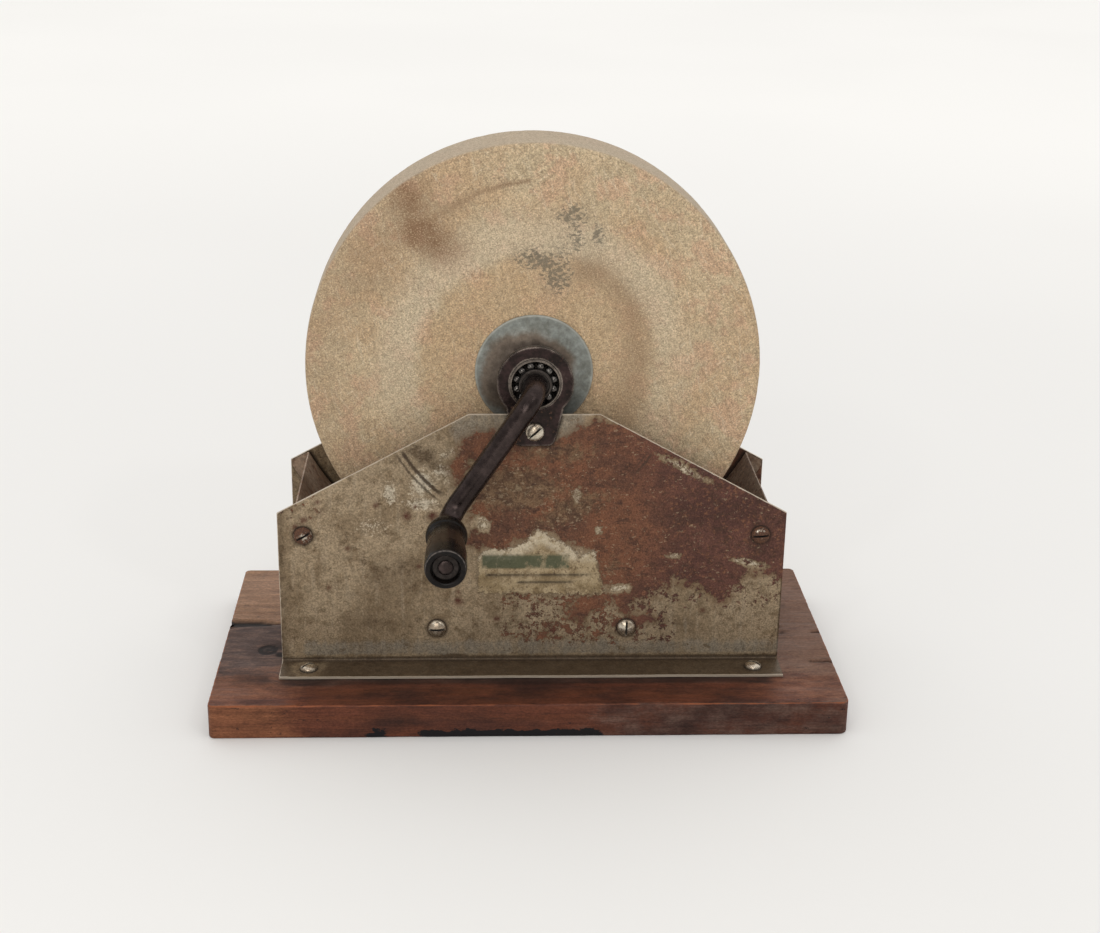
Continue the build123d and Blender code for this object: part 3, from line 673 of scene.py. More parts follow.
    # dark rings just round the screw heads: dirt, with painted contact shadow
    ring = np.zeros_like(x)
    for px, pz, share in ((-128.7, 78.9, 1.0), (128.7, 78.9, 0.5), (-54.2, 21.5, 0.8), (54.2, 21.5, 1.0)):
        ring = np.maximum(ring, share * np.exp(-((np.hypot(x - px, z - pz + 0.4) - 5.2) / 1.2) ** 2))
    purple = rise(x + 8 * np.sin(z / 17), 38, 92)
    return {"rust": np.clip(rust, -24, 14), "broken": broken, "label": np.clip(label, -12, 12),
            "grime_and_shade": grime_and_shade, "zinc": zinc, "scuff": scuff, "rub": rub * wall,
            "scrape": scrape * wall, "drops": drops * wall, "purple": purple, "freckles": freckles, "thin": thin, "ring": ring * wall,
            "band": band, "rules": rules, "peel": peel}


def rear_panel_marks(x, z, foot):
    """Plainer wear of the rear panel: rust low down and along one side."""
    points = np.stack([x, x * 0 + 500, z], -1)
    blotch = rough_noise(points, 60, 51, 4)
    rust = 26 * (blotch - 0.12) + 10 * (1 - rise(z, 8, 40)) - 4
    grime_and_shade = np.maximum(0.8 * np.exp(-(np.maximum(z - 1.5, 0) / 4) ** 2), 0.9 * foot)
    grime_and_shade = np.maximum(grime_and_shade, 0.7 * rise(rough_noise(points, 45, 55), 0.1, 0.5))
    zinc = 0.7 * rise(rough_noise(points, 50, 57), 0.1, 0.5)
    none = x * 0
    return {"rust": np.clip(rust, -24, 14), "broken": none + 0.4, "label": none - 12, "grime_and_shade": grime_and_shade,
            "zinc": zinc, "scuff": none, "rub": none, "drops": none, "purple": none + 0.4,
            "freckles": 0.6 * rise(blotch, -0.2, 0.3), "thin": none, "ring": none}


def panel_piece(name, side, marks_of, node):
    """Bent sheet panel: columns across, each running from the foot's outer edge to the top edge."""
    steps = np.linspace(-1, 1, 250)
    x = np.sort(np.concatenate([PANEL_HALF * steps, (-PANEL_TOP_HALF, PANEL_TOP_HALF)]))
    height = panel_height(x)

    def column(offset):
        """(out, up, rise share) along one column, offset from the hidden face of the sheet."""
        turn = np.radians(np.linspace(270, 180, 7))
        r = BEND_R - offset
        foot = [(d, offset, 0) for d in np.linspace(FOOT_DEPTH + SHEET, BEND_R, 14)[:-1]]
        bend = [(BEND_R + r * math.cos(t), BEND_R + r * math.sin(t), 0) for t in turn]
        wall = [(offset, BEND_R, share) for share in np.linspace(0, 1, 132)[1:]]
        return np.array(foot + bend + wall)

    def surface(offset):
        out, up, share = column(offset).T
        z = up[None, :] + share[None, :] * (height[:, None] - BEND_R)
        xx = np.repeat(x[:, None], len(out), 1)
        flat = np.stack([xx, z * 0, z], -1)
        bow = 0.28 * soft_noise(flat, 70, 61 + side) * rise(share, 0.02, 0.2)
        bow += 0.1 * soft_noise(flat, 22, 63 + side) * rise(share, 0.02, 0.2)
        curl = 0.18 * rise(soft_noise(flat + 7, 30, 65), -0.2, 0.8) * rise(out, 12, 22)
        y = FACE_Y - SHEET + out[None, :] + bow
        return np.stack([xx, side * y, z + curl], -1)

    hidden, shown = surface(0.0), surface(SHEET)
    points = np.concatenate([hidden.reshape(-1, 3), shown.reshape(-1, 3)])
    rows, columns = hidden.shape[:2]
    index = np.arange(rows * columns).reshape(rows, columns)
    loop = np.concatenate([index[0], index[1:, -1], index[-1, -2::-1], index[-2:0:-1, 0]])
    after = np.roll(loop, -1)
    shell = grid_faces(rows, columns)
    count = rows * columns
    faces = np.concatenate([shell, shell + count, np.stack([loop, after, after + count, loop + count], -1)])
    share = column(0.0)[:, 2]
    foot = np.tile(np.repeat((share == 0)[None, :] * 1.0, rows, 0).ravel(), 2)
    out = np.tile(np.repeat(column(SHEET)[None, :, 0], rows, 0).ravel(), 2)
    px, pz = points[:, 0], points[:, 2]
    marks = marks_of(px, pz, rise(out, 2.0, 3.0))
    # distance from the sheet's edges, for its pale edges of wear and painted highlight; the front panel's right edge
    # has none
    edge = np.minimum(PANEL_HALF - np.abs(px) + 3 * (px > 0) * (side < 0), np.where(foot > 0, FOOT_DEPTH + SHEET - 0.5 - out, 9))
    slope = 0.88
    edge = np.minimum(edge, np.maximum(panel_height(px) - pz, 0) * slope)
    marks["rim"] = np.clip(edge, -0.5, 4)
    world = MACHINE + points * MM
    piece = make_piece(name, world, faces, marks)
    attach(piece, "frame", "galvanised_sheet", sheet_finish(name + "_finish", side < 0), node)


# ---------------------------------------------------------------- base board
def board_finish():
    f = Finish("old_stained_pine", Specular_IOR_Level=0.16)
    ring = f.mark("ring")
    lines = f.bands(ring, 4.2, 2, 0.5)
    broad = f.bands(ring, 13, 2, 0.5)
    fibre = f.noise(1.0, 4, 0.7, (20, 1, 1), seed=1)
    fleck = f.noise(2.6, 4, 0.65, (5, 1, 1), seed=2)
    cloud = f.noise(26, 4, 0.6, (1.8, 1, 1), seed=3)
    mottle = f.noise(7, 5, 0.7, (2, 1, 1), seed=7)
    red = f.mix(f.step(lines, 0.36, 0.64), (0.112, 0.036, 0.018), (0.086, 0.029, 0.017))
    red = f.mix(f.step(broad, 0.4, 0.62, 0, 0.5), red, (0.112, 0.034, 0.018))
    red = f.mix(f.step(cloud, 0.45, 0.68, 0, 0.65), red, (0.044, 0.018, 0.014))
    grey = f.mix(f.step(lines, 0.36, 0.64), (0.092, 0.056, 0.045), (0.076, 0.046, 0.038))
    grey = f.mix(f.step(mottle, 0.42, 0.62, 0, 0.6), grey, (0.13, 0.076, 0.056))
    orange = f.mix(f.step(lines, 0.38, 0.62), (0.205, 0.08, 0.038), (0.165, 0.062, 0.03))
    edge = f.math("MULTIPLY", f.math("SUBTRACT", mottle, 0.5), 1.2)
    colour = f.mix(f.step(f.math("ADD", f.mark("grey"), edge), 0.2, 0.8), red, grey)
    colour = f.mix(f.step(f.math("ADD", f.mark("orange"), edge), 0.2, 0.9, 0, 0.85), colour, orange)
    colour = f.mix(f.step(f.math("ADD", f.mark("tan"), edge), 0.2, 0.9, 0, 0.9), colour,
                   f.mix(f.step(lines, 0.38, 0.62), (0.29, 0.165, 0.095), (0.235, 0.13, 0.075)))
    colour = f.mix(f.step(f.math("ADD", f.mark("pale"), edge), 0.25, 0.9, 0, 0.9), colour,
                   f.mix(f.step(mottle, 0.4, 0.6), (0.19, 0.1, 0.063), (0.15, 0.08, 0.051)))
    stain = f.math("ADD", f.mark("dark"), f.math("MULTIPLY", f.math("SUBTRACT", cloud, 0.5), 1.2))
    colour = f.mix(f.step(stain, 0.2, 0.85, 0, 0.85), colour, (0.022, 0.011, 0.009))
    colour = f.scale(colour, f.step(fibre, 0.3, 0.7, 0.8, 1.2))
    colour = f.scale(colour, f.step(mottle, 0.3, 0.7, 0.84, 1.16))
    colour = f.scale(colour, f.step(f.noise(0.9, 2, 0.7, (2, 1, 1), seed=8), 0.3, 0.7, 0.78, 1.22))
    pores = f.step(f.noise(1.3, 2, 0.6, (9, 1, 1), seed=4), 0.65, 0.71, 0, 0.5)
    colour = f.mix(pores, colour, (0.02, 0.011, 0.009))
    knot = f.math("ADD", f.mark("knot"), f.math("MULTIPLY", f.math("SUBTRACT", fleck, 0.5), 0.5))
    colour = f.mix(f.step(knot, 0.3, 0.75, 0, 0.96), colour, (0.012, 0.007, 0.006))
    # pale orange top edges: wear, with painted highlight
    worn = f.math("ADD", f.mark("arris"), f.math("MULTIPLY", f.math("SUBTRACT", fleck, 0.5), 1.6))
    colour = f.mix(f.step(worn, 0.5, 1.0, 0, 0.8), colour, (0.28, 0.085, 0.034))
    paint = f.math("ADD", f.mark("paint"), f.math("MULTIPLY",
                   f.math("SUBTRACT", f.noise(5, 4, 0.7, (1.6, 1, 1), seed=5), 0.5), 2.6))
    painted = f.step(paint, 0.42, 0.56)
    colour = f.mix(painted, colour, (0.008, 0.007, 0.008))
    # cracks, checks and gouges, and the painted shadow line in front of the foot flange, all in the split mark
    colour = f.mix(f.math("MULTIPLY", f.mark("split"), 0.97, True), colour, (0.004, 0.003, 0.003))
    gloss = f.math("ADD", f.step(cloud, 0.35, 0.65, 0.42, 0.56), f.math("MULTIPLY", f.mark("grey"), 0.12))
    gloss = f.blend(painted, gloss, 0.5)
    relief = f.math("ADD", f.math("MULTIPLY", fibre, 0.5), f.math("MULTIPLY", mottle, 0.5))
    normal = f.bump(relief, 0.16)
    normal = f.bump(f.noise(7, 3, 0.6, (3, 1, 1), seed=6), 0.25, normal)
    return f.finished(colour, gloss, normal)


def stepped(low, high, pitch, fine=1.4, fine_steps=4):
    """Positions from low to high: close together near both ends, then about `pitch` apart."""
    near = np.linspace(0, fine, fine_steps + 1)[:-1]
    middle = np.linspace(low + fine, high - fine, int((high - low - 2 * fine) / pitch) + 1)
    return np.concatenate([low + near, middle, (high - near)[::-1]])


def box_grid(xs, ys, zs):
    """Points and quads on the six faces of a box, from positions along each side."""
    sides = []
    for fixed, (u, v) in ((2, (0, 1)), (1, (0, 2)), (0, (1, 2))):
        spans = (xs, ys, zs)
        for level in (spans[fixed][0], spans[fixed][-1]):
            a, b = np.meshgrid(spans[u], spans[v], indexing="ij")
            points = np.empty(a.shape + (3,))
            points[..., u], points[..., v], points[..., fixed] = a, b, level
            sides.append(points)
    offset, points, faces = 0, [], []
    for side in sides:
        faces.append(grid_faces(*side.shape[:2]) + offset)
        points.append(side.reshape(-1, 3))
        offset += len(points[-1])
    return np.concatenate(points), np.concatenate(faces)


def rounded(a, b):
    """Moves a point of a unit square's two outer sides onto the quarter circle inside it."""
    length = np.maximum(np.hypot(a, b), 1e-9)
    share = np.maximum(a, b) / length
    return a * share, b * share


def board_piece():
    low, high = board_low / MM, board_high / MM
    points, faces = box_grid(stepped(low[0], high[0], 1.6), stepped(low[1], high[1], 1.6),
                             stepped(low[2], high[2], 1.5))
    middle = (low + high) / 2
    half = (high - low) / 2
    p = points - middle
    sign = np.where(p < 0, -1.0, 1.0)
    # how far outside the inner block each point is, as shares of the corner radius
    corner = 3.4 + 1.6 * (p[:, 0] > 0) * (p[:, 1] < 0)
    a = np.maximum(np.abs(p[:, 0]) - half[0] + corner, 0) / corner
    b = np.maximum(np.abs(p[:, 1]) - half[1] + corner, 0) / corner
    ra, rb = rounded(a, b)
    both = (a > 0) & (b > 0)
    plan = np.where(both, np.hypot(ra, rb), np.maximum(a, b))
    inset = (1 - plan) * corner
    out_x = np.where(both, ra / np.maximum(plan, 1e-9), (a > 0) & (a >= b)) * sign[:, 0]
    out_y = np.where(both, rb / np.maximum(plan, 1e-9), (b > 0) & (b > a)) * sign[:, 1]
    q = p.copy()
    q[:, 0] = np.where(both, sign[:, 0] * (half[0] - corner + ra * corner), p[:, 0])
    q[:, 1] = np.where(both, sign[:, 1] * (half[1] - corner + rb * corner), p[:, 1])
    # top and bottom edges, worn unevenly
    at = q + middle
    soft = 0.9 + 0.35 * rough_noise(at, 24, 71, 3)
    dip = half[2] - np.abs(p[:, 2])
    c = np.clip(1 - inset / soft, 0, 1)
    d = np.clip(1 - dip / soft, 0, 1)
    rc, rd = rounded(c, d)
    bevelled = (c > 0) & (d > 0)
    pull = np.where(bevelled, (c - rc) * soft, 0)
    drop = np.where(bevelled, (d - rd) * soft, 0)
    q[:, 0] -= out_x * pull
    q[:, 1] -= out_y * pull
    q[:, 2] -= sign[:, 2] * drop
    at = q + middle
    x, y, z = at.T
    on_top = rise(z, high[2] - 1.2, high[2] - 0.3)
    near_left = rise(-x, 100, 165)
    # the split at the left end, the thin seam that carries on from it, and the end checks
    wander = 0.8 * soft_noise(at, 16, 73)
    split_y = 12.9 - 3.2 * (1 - near_left) + wander
    gape = 0.35 + 2.6 * rise(-x, 146, 160)
    split = np.clip(1.7 * np.exp(-((y - split_y) / gape) ** 2), 0, 1) * rise(-x, 118, 150)
    branch = np.exp(-(line_gap(x, y, [(-177, 7), (-168, 9.5), (-160, 10.5)]) / 0.8) ** 2)
    checks = np.exp(-(line_gap(x, y, [(177, -40.5), (171, -41.6), (164, -41.5)]) / 0.8) ** 2)
    checks = np.maximum(checks, np.exp(-(line_gap(x, y, [(177, -2), (172, -2.6)]) / 0.9) ** 2))
    seam = np.exp(-((y - 10 - wander) / 0.5) ** 2) * (1 - rise(-x, 140, 160)) * rise(np.abs(x), 60, 90)
    gouges = np.maximum(spot(x, y, (151, 3.5), 2.6, 1.4, 20), spot(x, y, (153.5, -2.5), 2.0, 2.6, -30))
    # painted shadow: a thin dark line on the board just in front of the foot flange's edge, only where the panel stands
    gap = np.exp(-((y - FLANGE_Y + 0.4) / 0.75) ** 2) * rise(PANEL_HALF - np.abs(x - MACHINE[0] / MM), -1, 0)
    crack = np.maximum.reduce([split, branch, checks, 0.5 * seam])
    ring = np.hypot(y + 34 + 5 * soft_noise(at * (0.25, 1, 1), 26, 75), (z + 46) * 1.25)
    ring += 1.6 * rough_noise(at * (0.2, 1, 1), 14, 76, 3)
    for kx, ky, size in ((-150.8, -23.8, 13), (64, 78, 9)):
        ring += 7 * np.exp(-(((x - kx) / (1.7 * size)) ** 2 + ((y - ky) / size) ** 2))
    eye = np.hypot((x + 151) / 4.6, (y + 23) / 5.2)
    knot = np.exp(-((eye - 0.95) / 0.4) ** 2) + 0.75 * np.exp(-((eye - 0.2) / 0.3) ** 2)
    knot = np.maximum.reduce([knot, 0.95 * spot(x, y, (-143, -29), 5, 4, -30),
                              0.6 * spot(x, y, (-146, -20), 9, 9)]) * rise(z, 14, 19)
    grain = 0.1 * (1 + np.sin(ring * 2.1)) * on_top
    dents = 0.45 * rise(rough_noise(at, 16, 78, 3), 0.3, 0.75)
    nicks = 0.8 * rise(rough_noise(at, 7, 79, 3), 0.34, 0.7) * np.exp(-(np.hypot(inset, dip) / 2.2) ** 2)
    depth = grain + dents + nicks
    cut = 1.6 * crack + 1.3 * gouges + 0.6 * knot
    q[:, 2] -= np.where(p[:, 2] > half[2] - 1e-6, depth + cut, 0)
    side_face = (inset < 1e-6) & (dip > 0.2)
    end_cut = 2.2 * np.exp(-((y - 12.9) / 1.6) ** 2) * rise(z, 4, 16) * (x < 0)
    push = np.where(side_face, depth + end_cut * (np.abs(out_x) > 0.9), 0)
    q[:, 0] -= out_x * push
    q[:, 1] -= out_y * push
    front = rise(-y, -low[1] - 3, -low[1] - 0.6)
    grey = on_top * (0.25 + 0.6 * rise(-x, 90, 150) * (1 - rise(y, 8, 14)) + 0.2 * rise(x, 140, 150))
    grey = grey * (1 - 0.9 * rise(-y, 66, 74) * (1 - rise(x, 150, 170))) + 0.5 * front * rise(x, -10, 60)
    pale = 0.8 * on_top * rise(x, 136, 146)
    pale = pale * (1 - 0.7 * rise(-y, 45, 70))
    tan = on_top * rise(-x, 120, 150) * rise(y, 11, 14)
    orange = 0.85 * on_top * spot(x, y, (-165, -70), 45, 22, 10)
    orange = np.maximum(orange, 0.85 * front * (1 - rise(x, -148, -108)))
    orange = np.maximum(orange, 0.75 * on_top * np.maximum(spot(x, y, (163, -72), 40, 24), spot(x, y, (168, -8), 14, 10)))
    dark = front * np.maximum(0.75 * spot(x, z, (-78, 10), 22, 12), 0.5 * spot(x, z, (30, 4), 40, 8))
    dark = np.maximum(dark, 0.42 * front * rise(x, -20, 60))
    # painted shade: the top darker in a strip by the crank-side foot flange, only as wide as the panel
    dark = np.maximum(dark, 0.8 * on_top * rise(-y, 56, 62) * (1 - rise(-y, 66, 72))
                      * (1 - 0.85 * rise(np.abs(x), 132, 145)))
    dark = np.maximum(dark, 0.6 * on_top * spot(x, y, (152, 38), 12, 8, -20))
    # painted shade: the top's front strip darker in the middle, in front of the panel
    dark = np.maximum(dark, 0.45 * on_top * rise(-y, 66, 72) * (1 - rise(np.abs(x), 100, 150)))
    dark = np.maximum(dark, 0.5 * on_top * rise(-x, 140, 150) * spot(y, x, (-60, -160), 14, 30))
    paint = front * rise(x, -68, -58) * (1 - rise(x, 34, 44)) * (1 - rise(z, 2.5, 6.5))
    paint = np.maximum(paint, 0.75 * front * spot(x, z, (-86, 2), 9, 4))
    # top edges paler: wear, with painted highlight along them
    arris = np.exp(-(np.hypot(inset, high[2] - z) / 1.1) ** 2) * (0.95 - 0.2 * rise(x, -60, 0) * (1 - rise(x, 60, 90)))
    marks = {"ring": ring, "grey": grey, "orange": orange, "tan": tan, "dark": dark, "knot": knot, "paint": paint,
             "arris": arris, "pale": pale, "split": np.maximum.reduce([crack, 0.7 * gouges, 0.9 * gap])}
    piece = make_piece("stained_pine_board", (q + middle) * MM, faces, marks, 50)
    attach(piece, "frame", "board_wood", board_finish(), "base_board")


# ---------------------------------------------------------------- crank, grip, washers
def steel_finish(name, base, dark, rust_share, gloss, metal=0.75, size=9.0, lump=0.05, shade_and_dirt_reach=0.0,
                 rusty_span=None, edge_wear_and_highlight=0.0):
    """Worn steel: patches, rust, pits, corners darkened by dirt and painted shade, edges made bright by wear and
    painted highlight, a span of heights that rusted more.
    """
    f = Finish(name, Specular_IOR_Level=0.35)
    patch = f.noise(size, 4, 0.6, seed=1)
    fine = f.noise(size / 4, 4, 0.7, seed=2)
    speck = f.noise(0.8, 2, 0.7, seed=3)
    colour = f.mix(f.step(patch, 0.36, 0.62), base, dark)
    colour = f.scale(colour, f.step(fine, 0.3, 0.7, 0.8, 1.22))
    rust = f.math("ADD", f.math("MULTIPLY", patch, 0.5), f.math("MULTIPLY", fine, 0.5))
    if rusty_span:
        low, high = ((board_high[2] / MM + h) * MM for h in rusty_span)
        level = f.part("Z")
        added = f.step(f.part("X"), -0.02, 0.02, 0.23, 0.27)
        span = f.math("MULTIPLY", f.step(level, low, low + MM), f.step(level, high, high + MM, 1, 0))
        rust = f.math("ADD", rust, f.math("MULTIPLY", span, added))
    rusty = f.step(rust, 0.66 - 0.3 * rust_share, 0.74 - 0.3 * rust_share)
    shade = f.mix(f.step(speck, 0.35, 0.65), (0.06, 0.03, 0.02), (0.13, 0.058, 0.03))
    colour = f.mix(rusty, colour, shade)
    shine = f.blend(rusty, f.step(fine, 0.3, 0.7, gloss - 0.06, gloss + 0.1), 0.82)
    metallic = f.blend(rusty, metal, 0.05)
    # painted shade in slots, hollows and corners, with dirt: darker where a point is closed in
    if shade_and_dirt_reach:
        shade_and_dirt = f.step(f.openness(shade_and_dirt_reach), 0.52, 0.9, 0.98, 0)
        colour = f.mix(shade_and_dirt, colour, (0.008, 0.006, 0.005))
        shine = f.blend(shade_and_dirt, shine, 0.9)
        metallic = f.blend(shade_and_dirt, metallic, 0.0)
    # bright edges: wear, with painted highlight along them
    if edge_wear_and_highlight:
        rubbed_and_highlit = f.math("ADD", f.openness(1.1, True), f.math("MULTIPLY", f.math("SUBTRACT", patch, 0.5), 0.6))
        colour = f.mix(f.step(rubbed_and_highlit, 0.7, 0.92, edge_wear_and_highlight, 0), colour, (0.3, 0.25, 0.21))
    height = f.math("ADD", f.math("MULTIPLY", fine, 0.6), f.math("MULTIPLY", speck, 0.4))
    return f.finished(colour, shine, f.bump(height, lump), metallic)


def rounded_route(route_corners, radius, pitch):
    """Samples (u, y, tangent u, tangent y) along a route of square corners rounded by arcs."""
    p = np.array(route_corners, float)
    samples = []
    start = p[0]
    for k in range(1, len(p)):
        run = p[k] - p[k - 1]
        way = run / np.linalg.norm(run)
        end = p[k] if k == len(p) - 1 else p[k] - way * radius
        count = max(2, int(np.linalg.norm(end - start) / pitch(start, end)))
        samples += [(*(start + (end - start) * t), *way) for t in np.linspace(0, 1, count + 1)]
        if k < len(p) - 1:
            after = (p[k + 1] - p[k]) / np.linalg.norm(p[k + 1] - p[k])
            centre = end + after * radius
            for t in np.radians(np.linspace(0, 90, 16))[1:-1]:
                out = -after * math.cos(t) + way * math.sin(t)
                samples.append((*(centre + out * radius), *(way * math.cos(t) + after * math.sin(t))))
            start = p[k] + after * radius
    return np.array(samples)


def crank_piece():
    """Bent round rod: axle, arm and grip pin in one, threaded at the nuts, riveted at the tip."""
    low, high = corners("crank_axle")
    disc_low, disc_high = corners("grip_disc")
    rear_y = (high[1] - AXIS[1]) / MM
    tip_y = (disc_high[1] - AXIS[1]) / MM
    across = (PIN - AXIS) / MM
    throw = math.hypot(across[0], across[2])
    arm = np.array((across[0], 0, across[2])) / throw
    arm_y = -65.0
    along = np.array((0.0, 1.0, 0.0))
    flat = np.cross(arm, along)
    thread_pitch, thread_depth = 1.6, 0.5
    route = rounded_route([(0, rear_y), (0, arm_y), (throw, arm_y), (throw, tip_y)], 13.0,
                          lambda a, b: 0.28 if abs(a[0]) < 1 and abs(b[0]) < 1 else 1.0)
    u, y, tu, ty = route.T
    turn = np.linspace(0, 2 * np.pi, 56, endpoint=False)
    centre = u[:, None] * arm + y[:, None] * along
    tangent = tu[:, None] * arm + ty[:, None] * along
    across_rod = np.cross(tangent, flat)
    around = (np.cos(turn)[None, :, None] * flat
              + np.sin(turn)[None, :, None] * across_rod[:, None, :])
    rough_at = centre[:, None, :] + around * ROD_R
    radius = ROD_R - 0.16 * (1 + rough_noise(rough_at, 13, 81, 3)) * rise(u, 0.0, 8.0)[:, None]
    threaded = (rise(y, 26, 28) * (1 - (u > 1)))[:, None] + ((y < -24) & (y > -37) & (u < 1))[:, None]
    phase = (y[:, None] / thread_pitch + turn[None, :] / (2 * np.pi)) % 1
    radius = radius - thread_depth * (1 - np.abs(2 * phase - 1)) * np.clip(threaded, 0, 1)
    radius = radius - 0.8 * rise(y, rear_y - 0.9, rear_y)[:, None]
    points = centre[:, None, :] + around * radius[..., None]
    rows, columns = points.shape[:2]
    flat_points = np.concatenate([points.reshape(-1, 3), centre[:1], centre[-1:]])
    faces = [tuple(f) for f in grid_faces(rows, columns, False, True)]
    last = (rows - 1) * columns
    for k in range(columns):
        after = (k + 1) % columns
        faces.append((rows * columns, after, k))
        faces.append((rows * columns + 1, last + k, last + after))
    # the riveted boss beyond the disc
    neck = 3.1
    face_y = (disc_low[1] - AXIS[1]) / MM
    boss = [(0, tip_y + 0.4), (neck, tip_y + 0.4), (neck, face_y), (4.1, face_y), (4.05, face_y - 0.4),
            (3.6, face_y - 0.9), (3.0, face_y - 1.15), (2.2, face_y - 1.32), (1.1, face_y - 1.4), (0, face_y - 1.36)]
    local, _ = turned_points(boss, 40, PIN)
    peen = 0.4 * rise(rough_noise(local, 2.6, 83, 3), -0.3, 0.6)
    raised = rise(-local[..., 1], -face_y + 0.2, -face_y + 0.9)
    local[..., 1] += peen * raised
    local[..., 0::2] *= 1 - 0.12 * rise(soft_noise(local, 3.2, 85), 0, 1)[..., None] * raised[..., None]
    # the boss is about the pin, the rod about the axle
    local = local + (across[0], 0, across[2])
    start = len(flat_points)
    faces += [tuple(f) for f in grid_faces(*local.shape[:2], False, True) + start]
    flat_points = np.concatenate([flat_points, local.reshape(-1, 3)])
    piece = make_piece("forged_crank", AXIS + flat_points * MM, faces, None, 60)
    finish = steel_finish("oily_black_steel", (0.056, 0.04, 0.037), (0.032, 0.023, 0.021), 0.15, 0.25, 0.85, 16, 0.14)
    attach(piece, "wheel", "crank_steel", finish, "crank_axle")


def grip_finish():
    f = Finish("black_japanned_wood", Specular_IOR_Level=0.14)
    patch = f.noise(9, 4, 0.65, seed=1)
    fine = f.noise(1.6, 3, 0.7, seed=2)
    grain = f.noise(1.2, 3, 0.6, (1, 12, 1), seed=3)
    colour = f.mix(f.step(patch, 0.4, 0.66), (0.005, 0.004, 0.0036), (0.012, 0.0085, 0.007))
    worn = f.math("ADD", f.mark("worn"), f.math("MULTIPLY", f.math("SUBTRACT", patch, 0.5), 1.3))
    colour = f.mix(f.step(worn, 0.4, 1.0, 0, 0.75), colour, (0.033, 0.019, 0.012))
    # painted highlight: a pale line on the top of the front end's outer rim
    colour = f.mix(f.math("MULTIPLY", f.mark("rim"), f.step(fine, 0.35, 0.6, 0.3, 1.0)), colour, (0.2, 0.17, 0.15))
    colour = f.scale(colour, f.step(grain, 0.3, 0.7, 0.75, 1.25))
    gloss = f.step(patch, 0.35, 0.65, 0.22, 0.38)
    normal = f.bump(f.math("ADD", f.math("MULTIPLY", fine, 0.5), f.math("MULTIPLY", grain, 0.5)), 0.08)
    return f.finished(colour, gloss, normal)


def grip_piece():
    low, high = corners("hand_grip")
    f, g = ((c[1] - PIN[1]) / MM for c in (low, high))
    bore, mouth, depth = ROD_R + 0.08, 7.8, 4.8
    barrel = [(10.1, f), (10.85, f + 0.7), (11.2, f + 3), (11.25, f + 8), (11.1, f + 15), (10.7, f + 23),
              (10.15, f + 31), (9.8, f + 36), (9.75, f + 38)]
    bead = [(9.75, f + 38), (10.35, f + 39.9), (11.2, f + 42), (11.4, f + 44.6), (11.0, f + 47.2),
            (9.9, f + 49.2), (8.2, g)]
    inner = [(r, y) for r in (bore,) for y in np.linspace(g, f + depth, 8)]
    profile = smooth_run(barrel, 5) + smooth_run(bead, 5) + inner
    profile += [(mouth, f + depth), (mouth, f + 2.4), (mouth, f + 0.4), (mouth + 0.4, f)]
    local, _ = turned_points(profile, 96, PIN)
    r = np.hypot(local[..., 0], local[..., 2])
    outside = rise(r, 9.4, 9.8)
    lines = sum(np.exp(-((local[..., 1] - f - at) / 0.32) ** 2) for at in (6.2, 37.4, 40.3))
    depth_in = 0.16 * lines * outside + 0.12 * (1 + rough_noise(local, 9, 91, 3)) * outside
    depth_in += 0.35 * rise(rough_noise(local, 4, 93, 3), 0.42, 0.7) * outside
    local[..., 0::2] *= (1 - depth_in / np.maximum(r, 1))[..., None]
    along = local[..., 1] - f
    worn = 0.85 * rise(along, 6, 15) * (1 - rise(along, 30, 37)) * outside
    # painted highlight along the top of the front end's outer rim
    rim = np.clip(np.exp(-((r - 10.5) / 0.3) ** 2) - 0.3, 0, 1) * (along < 1) * rise(local[..., 2], -4, 6)
    faces = grid_faces(*local.shape[:2], True, True)
    piece = make_piece("turned_hand_grip", PIN + local * MM, faces, {"worn": worn, "rim": rim}, 50)
    attach(piece, "grip", "grip_black", grip_finish(), "hand_grip")


def washer_finish():
    """Dull zinc plate with a greasy brown middle."""
    f = Finish("greasy_zinc_plate", Specular_IOR_Level=0.4)
    patch = f.noise(8, 4, 0.6, seed=1)
    fine = f.noise(1.8, 4, 0.7, seed=2)
    colour = f.mix(f.step(patch, 0.36, 0.64), (0.235, 0.248, 0.228), (0.165, 0.168, 0.147))
    oily = f.math("ADD", f.mark("oily"), f.math("MULTIPLY", f.math("SUBTRACT", patch, 0.5), 0.6))
    colour = f.mix(f.step(oily, 0.15, 0.75, 0, 0.92), colour, (0.13, 0.096, 0.07))
    colour = f.mix(f.step(oily, 0.76, 1.16, 0, 0.88), colour, (0.035, 0.024, 0.018))
    colour = f.scale(colour, f.step(fine, 0.3, 0.7, 0.84, 1.18))
    colour = f.mix(f.math("MULTIPLY", f.mark("edge"), 0.5), colour, (0.42, 0.41, 0.36))
    gloss = f.step(patch, 0.35, 0.65, 0.42, 0.56)
    return f.finished(colour, gloss, f.bump(fine, 0.06), 0.55)


